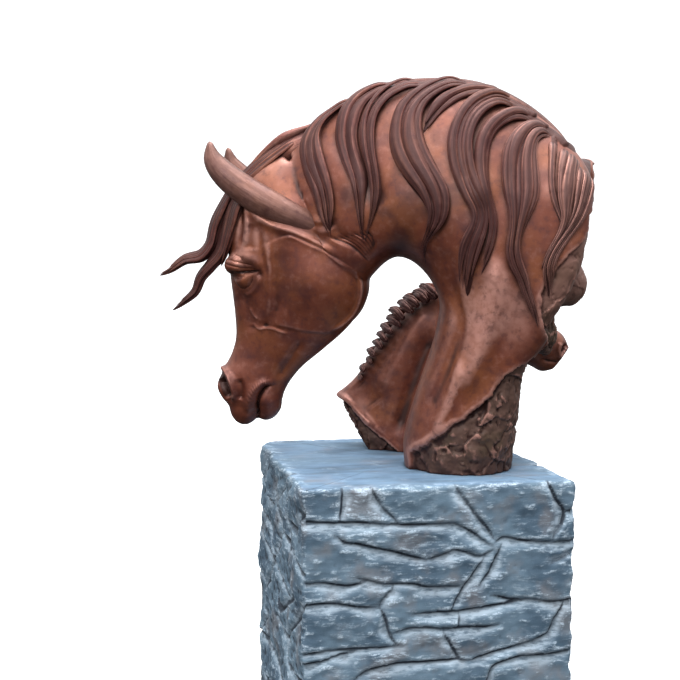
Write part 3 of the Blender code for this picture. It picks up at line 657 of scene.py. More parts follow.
@dataclass
class Mare:
    """The mare's bowed head and arched neck, carved and torn off at the foot and the back."""

    voxel: float = 0.0062
    most_triangles: int = 192000
    smoothing: tuple = (6, 4, 1)
    neck: tuple = (
        ((0.148, -0.035), (-0.14, -0.035), 0.16, 2.2, 0.0),
        ((0.148, 0.0), (-0.14, 0.001), 0.16, 2.2, 0.0),
        ((0.158, 0.11), (-0.143, 0.075), 0.155, 2.6, 0.0),
        ((0.176, 0.256), (-0.116, 0.18), 0.15, 4.0, 0.02),
        ((0.214, 0.33), (-0.08, 0.291), 0.15, 5.0, 0.04),
        ((0.248, 0.395), (-0.062, 0.361), 0.152, 6.0, 0.06),
        ((0.29, 0.478), (-0.056, 0.417), 0.156, 6.0, 0.08),
        ((0.32, 0.6), (-0.072, 0.463), 0.156, 5.0, 0.12),
        ((0.314, 0.731), (-0.098, 0.499), 0.152, 4.0, 0.18),
        ((0.261, 0.817), (-0.129, 0.524), 0.145, 2.6, 0.25),
        ((0.157, 0.91), (-0.16, 0.534), 0.136, 2.2, 0.32),
        ((0.028, 0.966), (-0.184, 0.529), 0.13, 2.2, 0.36),
        ((-0.111, 0.976), (-0.207, 0.513), 0.124, 2.2, 0.36),
        ((-0.247, 0.954), (-0.227, 0.492), 0.115, 2.2, 0.34),
        ((-0.364, 0.887), (-0.248, 0.47), 0.106, 2.2, 0.28),
        ((-0.451, 0.812), (-0.29, 0.45), 0.094, 2.2, 0.2),
    )
    head: tuple = (
        ((-0.47, 0.8), (-0.372, 0.7), 0.062, 2.2, 0.0),
        ((-0.525, 0.765), (-0.344, 0.641), 0.084, 2.6, 0.0),
        ((-0.57, 0.703), (-0.286, 0.572), 0.099, 3.0, -0.06),
        ((-0.6, 0.614), (-0.249, 0.513), 0.108, 3.0, -0.06),
        ((-0.608, 0.535), (-0.24, 0.453), 0.106, 2.8, 0.02),
        ((-0.602, 0.456), (-0.258, 0.401), 0.095, 2.6, 0.12),
        ((-0.594, 0.385), (-0.302, 0.343), 0.079, 2.6, 0.16),
        ((-0.591, 0.324), (-0.362, 0.289), 0.066, 2.5, 0.12),
        ((-0.602, 0.278), (-0.413, 0.246), 0.059, 2.5, 0.04),
        ((-0.622, 0.238), (-0.445, 0.208), 0.06, 2.4, 0.0),
        ((-0.641, 0.192), (-0.463, 0.176), 0.06, 2.4, 0.04),
        ((-0.627, 0.156), (-0.472, 0.152), 0.054, 2.4, 0.04),
        ((-0.602, 0.13), (-0.49, 0.134), 0.04, 2.2, 0.0),
    )
    core_knobs: tuple = (
        ((0.262, 0.045, 0.47), (0.061, 0.075, 0.072)), ((0.3, 0.085, 0.745), (0.038, 0.05, 0.045)),
        ((0.208, 0.02, 0.35), (0.046, 0.08, 0.075)),
    )
    lips: tuple = (((-0.569, 0.0, 0.138), (0.041, 0.044, 0.053)), ((-0.512, 0.0, 0.143), (0.04, 0.04, 0.044)))
    brows: tuple = (((-0.572, -0.056, 0.509), (0.037, 0.048, 0.029)), ((-0.572, 0.056, 0.509),
                                                                       (0.037, 0.048, 0.029)))
    tear: tuple = (
        (-0.118, 0.043), (-0.025, 0.112), (0.078, 0.194), (0.106, 0.239), (0.154, 0.272), (0.198, 0.302),
        (0.219, 0.332), (0.199, 0.399), (0.209, 0.479), (0.273, 0.556), (0.3, 0.582), (0.312, 0.64),
        (0.322, 0.69), (0.324, 0.74), (0.322, 0.775),
    )
    bare_side: tuple = ((0.6, 0.775), (0.6, -0.2), (-0.118, -0.2))
    face_region: tuple = ((-0.8, 0.68), (-0.42, 0.68), (-0.24, 0.61), (-0.19, 0.53), (-0.24, 0.4),
                          (-0.4, 0.05), (-0.8, 0.05))
    core_region: tuple = ((-0.14, -0.1), (0.6, -0.1), (0.6, 0.8), (0.26, 0.8), (0.17, 0.4), (0.04, 0.21))
    eye_region: tuple = ((-0.64, 0.55), (-0.49, 0.55), (-0.48, 0.43), (-0.64, 0.43))
    muzzle_region: tuple = ((-0.7, 0.25), (-0.55, 0.25), (-0.44, 0.22), (-0.46, 0.09), (-0.7, 0.09))
    # Painted shade: dark lines in the nostril, the mouth and the eye crease, under the arch and by the poll.
    painted_shade_lines: tuple = (
        Stroke(((-0.626, 0.22), (-0.613, 0.192), (-0.6, 0.164)), 0.012, -2.6),
        Stroke(((-0.5, 0.191), (-0.515, 0.17), (-0.524, 0.14), (-0.533, 0.095)), 0.004, -1.6),
        Stroke(((-0.596, 0.488), (-0.552, 0.491), (-0.506, 0.495)), 0.004, -1.0),
        Stroke(((-0.26, 0.52), (-0.2, 0.555), (-0.13, 0.56), (-0.08, 0.5), (-0.055, 0.4)), 0.03, -0.25),
        Stroke(((-0.35, 0.88), (-0.29, 0.8), (-0.28, 0.7), (-0.27, 0.64)), 0.03, -0.45),
    )
    # Painted light and shade: shade under the mane, highlights on the chest, forehead, brow and neck.
    painted_light_and_shade: tuple = (
        Bump((-0.16, 0.66), 0.11, -0.6), Bump((-0.04, 0.62), 0.07, -0.45), Bump((0.095, 0.41), 0.09, 1.3),
        Bump((-0.08, 0.59), 0.03, 0.8), Bump((-0.535, 0.58), 0.045, 0.8), Bump((-0.556, 0.528), 0.024, 0.45),
        Bump((0.02, 0.8), 0.05, 0.35), Bump((0.215, 0.7), 0.03, 0.5),
    )

    def folds(self) -> list[Stroke]:
        """Return the folds of the face, the neck and the throat."""
        return [
            Stroke(((-0.484, 0.577), (-0.483, 0.484), (-0.484, 0.406), (-0.496, 0.363)), 0.013, 0.0055),
            Stroke(((-0.464, 0.573), (-0.464, 0.486), (-0.466, 0.41), (-0.476, 0.36)), 0.012, -0.003),
            Stroke(((-0.262, 0.5), (-0.307, 0.528), (-0.356, 0.552), (-0.416, 0.58), (-0.436, 0.583),
                    (-0.464, 0.574)), 0.004, 0.0065, Profile.EDGE),
            Stroke(((-0.54, 0.65), (-0.5, 0.623), (-0.46, 0.604), (-0.416, 0.592), (-0.356, 0.564),
                    (-0.3, 0.535)),
                   0.01, 0.008),
            Stroke(((-0.264, 0.5), (-0.258, 0.454), (-0.264, 0.42), (-0.28, 0.388), (-0.307, 0.361),
                    (-0.334, 0.344)),
                   0.0045, 0.008),
            Stroke(((-0.479, 0.358), (-0.431, 0.35), (-0.4, 0.344), (-0.328, 0.338)), 0.006, 0.005,
                   Profile.EDGE),
            Stroke(((-0.44, 0.555), (-0.447, 0.47), (-0.455, 0.38)), 0.02, -0.004),
            Stroke(((-0.562, 0.669), (-0.558, 0.604), (-0.562, 0.553)), 0.007, -0.006),
            Stroke(((-0.545, 0.663), (-0.54, 0.604), (-0.547, 0.554)), 0.007, 0.004),
            Stroke(((-0.504, 0.627), (-0.502, 0.554), (-0.487, 0.484), (-0.483, 0.469)), 0.01, -0.005),
            Stroke(((-0.53, 0.62), (-0.53, 0.545)), 0.018, -0.005),
            Stroke(((-0.575, 0.44), (-0.545, 0.4), (-0.535, 0.33)), 0.018, -0.006),
            Stroke(((-0.403, 0.323), (-0.407, 0.311), (-0.435, 0.267), (-0.459, 0.231), (-0.465, 0.206)),
                   0.011, -0.007),
            Stroke(((-0.347, 0.64), (-0.3, 0.59), (-0.24, 0.53)), 0.014, -0.005),
            Stroke(((-0.384, 0.61), (-0.341, 0.596), (-0.303, 0.611)), 0.009, 0.0035),
            Stroke(((-0.405, 0.64), (-0.359, 0.621), (-0.313, 0.631)), 0.009, 0.0035),
            Stroke(((-0.036, 0.52), (-0.01, 0.434), (0.003, 0.365), (-0.03, 0.251), (-0.09, 0.119)), 0.018,
                   -0.009),
            Stroke(((0.085, 0.56), (0.09, 0.43), (0.05, 0.3), (-0.01, 0.18)), 0.03, 0.01),
            Stroke(((-0.33, 0.86), (-0.26, 0.76), (-0.19, 0.65)), 0.03, -0.008),
            Stroke(((0.01, 0.3), (-0.01, 0.2), (-0.06, 0.09)), 0.014, 0.005),
        ]

    def throat(self) -> list[Stroke]:
        """Return the fine wrinkles that fan out from the corner of the throat."""
        wrinkles = []
        for step in range(7):
            start = np.array((-0.33 + 0.015 * step, 0.584 + 0.0025 * step))
            end = np.array((-0.225 + 0.0025 * step, 0.518 + 0.006 * step))
            wrinkles.append(Stroke((start, (start + end) / 2 + (0.006, 0.008), end), 0.0034, -0.0045))
        return wrinkles

    def eye(self) -> list[Stroke]:
        """Return the brow, the folds of the lids and the outline of the closed eye."""
        crease = Profile.CREASE
        return [
            Stroke(((-0.594, 0.526), (-0.558, 0.536), (-0.519, 0.521), (-0.5, 0.497)), 0.012, 0.005),
            Stroke(((-0.604, 0.526), (-0.557, 0.515), (-0.52, 0.508)), 0.003, -0.0035, crease),
            Stroke(((-0.607, 0.514), (-0.562, 0.504), (-0.512, 0.499)), 0.003, -0.0035, crease),
            Stroke(((-0.596, 0.488), (-0.572, 0.489), (-0.552, 0.491), (-0.506, 0.495)), 0.0042, -0.011,
                   crease),
            Stroke(((-0.526, 0.487), (-0.531, 0.467), (-0.542, 0.454), (-0.558, 0.449), (-0.574, 0.458),
                    (-0.583, 0.474)), 0.0036, -0.0045, crease),
            Stroke(((-0.508, 0.484), (-0.516, 0.457), (-0.535, 0.437), (-0.56, 0.432)), 0.006, 0.003),
        ]

    def muzzle(self) -> list[Stroke]:
        """Return the nostril, the mouth, the lips and the veins of the muzzle."""
        crease = Profile.CREASE
        strokes = [
            Stroke(((-0.544, 0.4), (-0.532, 0.381), (-0.516, 0.369)), 0.004, 0.003),
            Stroke(((-0.548, 0.353), (-0.532, 0.355), (-0.516, 0.346), (-0.484, 0.348), (-0.455, 0.339),
                    (-0.431, 0.334)), 0.0035, 0.003),
            Stroke(((-0.624, 0.214), (-0.611, 0.188), (-0.597, 0.16)), 0.0115, -0.026),
            Stroke(((-0.645, 0.238), (-0.612, 0.235), (-0.592, 0.212), (-0.584, 0.18), (-0.592, 0.146)),
                   0.0075, 0.011),
            Stroke(((-0.572, 0.216), (-0.564, 0.187), (-0.57, 0.154)), 0.009, -0.01),
            Stroke(((-0.478, 0.208), (-0.508, 0.202), (-0.532, 0.182), (-0.548, 0.15), (-0.556, 0.116)), 0.01,
                   0.008),
            Stroke(((-0.48, 0.197), (-0.5, 0.191), (-0.515, 0.17), (-0.524, 0.14), (-0.533, 0.095)),
                   0.006, -0.018, crease),
        ]
        roll = smooth_through(((-0.488, 0.21), (-0.512, 0.202), (-0.532, 0.184), (-0.548, 0.148)), 4)
        for first, second in zip(roll, roll[1:]):
            along = (second - first) / np.linalg.norm(second - first)
            across = np.array((-along[1], along[0])) * 0.01
            strokes.append(Stroke((first - across, first + across + along * 0.006), 0.0026, -0.0014, crease))
        return strokes

    def swellings(self) -> list[Bump]:
        """Return the rounded forms of the head and the neck."""
        return [
            Bump((-0.557, 0.47), 0.02, 0.016),
            Bump((-0.508, 0.486), 0.008, -0.008),
            Bump((-0.555, 0.525), 0.03, 0.005),
            Bump((-0.345, 0.46), 0.08, 0.014),
            Bump((-0.43, 0.64), 0.04, 0.01),
            Bump((-0.6, 0.205), 0.034, 0.008),
            Bump((-0.494, 0.148), 0.026, 0.008),
            Bump((0.045, 0.69), 0.03, 0.01),
            Bump((-0.497, 0.356), 0.01, -0.005),
        ]

    def build(self, finish: bpy.types.Material) -> BVHTree:
        """Build the mare's bare body.

        Args:
            finish: Her material.

        Returns:
            Her surface in the casting's own frame, for the hair to lie on.
        """
        block, fine, carved = self.smoothing
        shells = bmesh.new()
        SCULPTING.add_body(shells, self.neck, 0.0)
        SCULPTING.add_body(shells, self.head, 0.0)
        for centre, radii in self.core_knobs + self.lips + self.brows:
            add_knob(shells, centre, radii)
        mesh = fused(welded("mare", shells), self.voxel)
        Surface(mesh).relax(block)
        mesh = refined(mesh, (self.face_region, self.eye_region, self.muzzle_region, self.core_region))
        surface = Surface(mesh)
        surface.relax(fine)
        strokes = self.folds() + self.throat() + self.eye() + self.muzzle()
        surface.push(carved_moves(surface.points, surface.normals, strokes, self.swellings()))
        surface.relax(carved)
        along, over, _ = surface.points.T
        near_foal = (over > 0.155 * FIGURE_HEIGHT) & (along < 0.05 * FIGURE_HEIGHT)
        bare = SCULPTING.tear(surface, self.tear, self.bare_side, ~near_foal)
        surface.store(BARE, bare)
        # Painted shade and painted highlights are stored with the relief for the material to paint.
        painted = drawn_on_sides(surface.points, self.painted_shade_lines, self.painted_light_and_shade)
        surface.mark_raised(RELIEF_ROUNDS, RELIEF_HEIGHT, painted)
        cut_level(mesh, 0.0)
        ready = bmesh.new()
        ready.from_mesh(mesh)
        tree = BVHTree.FromBMesh(ready)
        ready.free()
        cast_piece("mare_head_and_neck", thinned(mesh, self.most_triangles), finish)
        return tree


@dataclass
class Foal:
    """The foal's neck and head, leaning on the mare's far side; its upright mane is built apart."""

    voxel: float = 0.0046
    smoothing: tuple = (6, 3)
    neck: tuple = (
        ((-0.363, 0.143), (-0.215, -0.09), 0.07, 2.2, 0.2),
        ((-0.306, 0.196), (-0.1, -0.09), 0.082, 2.2, 0.26),
        ((-0.25, 0.283), (-0.02, 0.01), 0.084, 2.2, 0.3),
        ((-0.178, 0.37), (0.01, 0.12), 0.08, 2.2, 0.3),
        ((-0.089, 0.434), (0.035, 0.23), 0.074, 2.2, 0.28),
        ((0.035, 0.492), (0.07, 0.33), 0.068, 2.2, 0.15),
    )
    head: tuple = (
        ((0.0, 0.49), (0.02, 0.4), 0.045, 2.2, 0.0),
        ((0.08, 0.505), (0.055, 0.32), 0.072, 2.6, 0.0),
        ((0.155, 0.48), (0.085, 0.275), 0.076, 2.6, 0.0),
        ((0.195, 0.392), (0.13, 0.252), 0.06, 2.4, 0.1),
        ((0.232, 0.35), (0.172, 0.242), 0.047, 2.4, 0.05),
        ((0.263, 0.325), (0.206, 0.226), 0.044, 2.4, 0.0),
        ((0.28, 0.292), (0.238, 0.232), 0.032, 2.2, 0.0),
    )
    head_shift: float = -0.02
    tear: tuple = ((-0.37, 0.15), (-0.312, 0.116), (-0.275, 0.078), (-0.232, 0.045), (-0.175, 0.0))
    bare_side: tuple = ((-0.175, -0.2), (-0.6, -0.2), (-0.6, 0.15))
    face_region: tuple = ((0.11, 0.45), (0.34, 0.45), (0.34, 0.2), (0.16, 0.2))
    core_region: tuple = ((-0.4, 0.16), (-0.3, 0.13), (-0.17, 0.02), (-0.17, -0.1), (-0.42, -0.1))

    def strokes(self) -> list[Stroke]:
        """Return the folds of the neck, the eye, the nostril and the mouth."""
        crease = Profile.CREASE
        return [
            Stroke(((0.15, 0.405), (0.172, 0.413), (0.192, 0.398)), 0.008, 0.009),
            Stroke(((0.152, 0.388), (0.172, 0.38), (0.19, 0.386)), 0.004, -0.008, crease),
            Stroke(((0.156, 0.372), (0.174, 0.366), (0.188, 0.374)), 0.004, -0.004, crease),
            Stroke(((0.278, 0.305), (0.268, 0.288), (0.268, 0.268)), 0.007, -0.016),
            Stroke(((0.258, 0.31), (0.252, 0.288), (0.258, 0.262)), 0.006, 0.005),
            Stroke(((0.205, 0.262), (0.245, 0.252), (0.29, 0.252)), 0.005, -0.012, crease),
            Stroke(((0.12, 0.42), (0.15, 0.36), (0.15, 0.3)), 0.01, 0.006),
            Stroke(((-0.083, 0.417), (-0.127, 0.362), (-0.163, 0.297), (-0.19, 0.242), (-0.217, 0.176),
                    (-0.23, 0.139)),
                   0.026, 0.011),
            Stroke(((-0.07, 0.34), (-0.104, 0.284), (-0.13, 0.215), (-0.156, 0.131), (-0.172, 0.074),
                    (-0.18, 0.03)),
                   0.022, -0.014),
            Stroke(((-0.3, 0.19), (-0.27, 0.16), (-0.24, 0.12)), 0.03, -0.007),
            Stroke(((-0.355, 0.15), (-0.318, 0.128), (-0.28, 0.095), (-0.24, 0.062)), 0.01, 0.007),
        ]

    def swellings(self) -> list[Bump]:
        """Return the rounded forms of the eye and the cheek."""
        return [Bump((0.17, 0.388), 0.018, 0.01), Bump((0.125, 0.335), 0.05, 0.012)]

    def build(self, finish: bpy.types.Material) -> None:
        """Build the foal's body.

        Args:
            finish: Its material.
        """
        block, fine = self.smoothing
        shells = bmesh.new()
        SCULPTING.add_body(shells, self.neck, FOAL_W * FIGURE_HEIGHT)
        SCULPTING.add_body(shells, self.head, (FOAL_W + self.head_shift) * FIGURE_HEIGHT)
        mesh = fused(welded("foal", shells), self.voxel)
        Surface(mesh).relax(block)
        mesh = refined(mesh, (self.face_region, self.core_region))
        surface = Surface(mesh)
        surface.relax(fine)
        surface.push(carved_moves(surface.points, surface.normals, self.strokes(), self.swellings()))
        foot = surface.points[:, 0] < -0.12 * FIGURE_HEIGHT
        bare = SCULPTING.tear(surface, self.tear, self.bare_side, foot)
        surface.store(BARE, bare)
        surface.mark_raised(RELIEF_ROUNDS, RELIEF_HEIGHT)
        cut_level(mesh, 0.0)
        cast_piece("foal_head_and_neck", mesh, finish)


@dataclass(frozen=True)
class Hairdressing:
    """How locks of hair are made up: ridged strands side by side over a core, ending apart."""

    spacing: float = 0.0075
    columns: int = 22
    ridges: int = 6
    ridge_share: float = 0.055
    core_share: float = 0.8
    overlap: float = 1.48
    flatness: float = 0.62
    crown: float = 0.86
    root_share: float = 0.2
    root_sink: float = 1.3
    tip_lift: float = 0.006
    least_size: float = 0.003

    def add_strand(self, shells: bmesh.types.BMesh, path: Array, outward: Array, sizes: Array,
                   seed: float) -> None:
        """Add one tapering strand with fine ridges along it.

        Args:
            shells: The mesh that it goes into.
            path: Its middle line.
            outward: The direction away from the head at each point.
            sizes: Half its width at each point, before its ends taper.
            seed: A number that makes this strand differ from the others.
        """
        share = np.linspace(0, 1, len(path))
        waver = 1 + 0.14 * np.sin(share * 8 + seed * 5) + 0.07 * np.sin(share * 19 + seed * 11)
        ends = np.maximum(1 - share ** 4.5, 0) ** 0.6 * (0.12 + 0.88 * eased(share * 6))
        size = np.maximum(sizes, self.least_size) * waver * ends
        sides = np.cross(np.gradient(path, axis=0), outward)
        rows, proud = tube_rows(path, sides, size, size * self.flatness, self.columns, self.ridges,
                                self.ridge_share, seed * 3)
        # The strand's outer face is painted lighter and its inner face darker.
        add_sheet(shells, rows, proud)

    def add_bundle(self, shells: bmesh.types.BMesh, path: Array, outward: Array, half_width: float,
                   strands: int, seed: float, blunt: float = 2.6) -> None:
        """Add a lock that hangs free: a core, and strands over its outer face.

        Args:
            shells: The mesh that it goes into.
            path: Its middle line, evenly spaced.
            outward: The direction that its face points in at each point.
            half_width: Half its greatest width.
            strands: How many strands show.
            seed: A number that makes this lock differ from the others.
            blunt: How blunt its tip is.
        """
        share = np.linspace(0, 1, len(path))
        widths = half_width * np.minimum(1, 0.65 + share) * np.maximum(1 - share ** blunt, 0) ** 0.6
        sides = np.cross(np.gradient(path, axis=0), outward)
        sides /= np.linalg.norm(sides, axis=1)[:, None]
        inner = widths * self.core_share
        core, proud = tube_rows(path, sides, inner, inner * 0.8, self.columns)
        # Painted shade: the core under the strands is painted darker.
        add_sheet(shells, core, proud - 0.4)
        spread = half_width * (0.3 + 0.7 * widths / half_width)
        for number in range(strands):
            across = (number + 0.5) / strands * 2 - 1
            wave = math.sin(seed * 12.9 + number * 4.1)
            last = len(path) - round(0.1 * abs(wave) * len(path))
            swing = across * self.crown + 0.12 * np.sin(share * 6 + seed * 2)
            rise = 0.62 * np.sqrt(np.maximum(1 - swing ** 2, 0))
            line = path + sides * (spread * swing)[:, None] + outward * (spread * rise)[:, None]
            sizes = spread / strands * self.overlap * (1 + 0.2 * wave)
            self.add_strand(shells, line[:last], outward[:last], sizes[:last], seed + number * 0.7)

    def laid_on(self, tree: BVHTree, places: Array, side: int) -> tuple[Array, Array]:
        """Lay a drawn path on one side of a surface.

        Args:
            tree: The surface.
            places: The path, evenly spaced, in shares of the height.
            side: -1 for the near side and 1 for the far side.

        Returns:
            The points of the path on the surface, and the directions out of it.
        """
        found = []
        for across, up in places * FIGURE_HEIGHT:
            hit = tree.ray_cast(Vector((across, side * FIGURE_HEIGHT, up)), Vector((0, -side, 0)))
            if hit[0] is None:
                hit = tree.find_nearest(Vector((across, 0.02 * side * FIGURE_HEIGHT, up)))
            found.append(hit[:2])
        points, outward = (np.array(values) for values in zip(*found))
        for _ in range(10):
            points[1:-1] = (points[:-2] + 2 * points[1:-1] + points[2:]) / 4
            outward[1:-1] = (outward[:-2] + 2 * outward[1:-1] + outward[2:]) / 4
        outward /= np.linalg.norm(outward, axis=1)[:, None]
        return points, outward

    def add_laid_lock(self, shells: bmesh.types.BMesh, tree: BVHTree, lock: BroadLock, seed: float,
                      side: int = -1) -> None:
        """Add a lock that lies on a surface.

        Args:
            shells: The mesh that it goes into.
            tree: The surface.
            lock: The lock.
            seed: A number that makes this lock differ from the others.
            side: -1 for the near side and 1 for the far side.
        """
        edges = [smooth_through(edge) for edge in (lock.left, lock.right)]
        count = round(max(lengths_along(edge)[-1] for edge in edges) * FIGURE_HEIGHT / self.spacing)
        left, right = (shared_out(edge, count) for edge in edges)
        width = np.linalg.norm(right - left, axis=1) * FIGURE_HEIGHT
        share = np.linspace(0, 1, len(width))
        rise = eased(share / self.root_share) * (1 + self.root_sink) - self.root_sink
        slim = np.clip(width / 0.028, 0.3, 1)
        height = lock.height * FIGURE_HEIGHT * rise * slim
        tip = self.tip_lift * eased((share - 0.8) * 5)
        path, outward = self.laid_on(tree, (left + right) / 2, side)
        core = path + outward * (height * 0.1)[:, None]
        body = np.maximum(1 - share ** 8, 0) ** 0.5
        sides = np.cross(np.gradient(path, axis=0), outward)
        rows, proud = tube_rows(core, sides, np.maximum(width * 0.42, 0.002) * body,
                                np.maximum(np.abs(height) * 0.45, 0.002) * body, self.columns)
        # Painted shade: the core under the strands is painted darker.
        add_sheet(shells, rows, proud - 0.4)
        for number in range(lock.strands):
            across = (number + 0.5) / lock.strands
            wave = math.sin(seed * 12.9 + number * 4.1)
            drift = 0.22 / lock.strands * np.sin(np.linspace(0, 5, count) + seed * 2 + number * 1.3)
            path, outward = self.laid_on(tree, left + (right - left) * (across + drift)[:, None], side)
            crown = math.sqrt(1 - (self.crown * (2 * across - 1)) ** 2) * (0.95 + 0.3 * wave)
            last = len(path) - round(0.06 * abs(wave) * len(path))
            varied = 1 + 0.22 * math.sin(seed * 5.3 + number * 2.9)
            sizes = width / lock.strands * 0.5 * self.overlap * varied
            line = path + outward * (height * crown - 0.3 * sizes + tip)[:, None]
            self.add_strand(shells, line[:last], outward[:last], sizes[:last], seed + number * 0.7)


HAIR = Hairdressing()


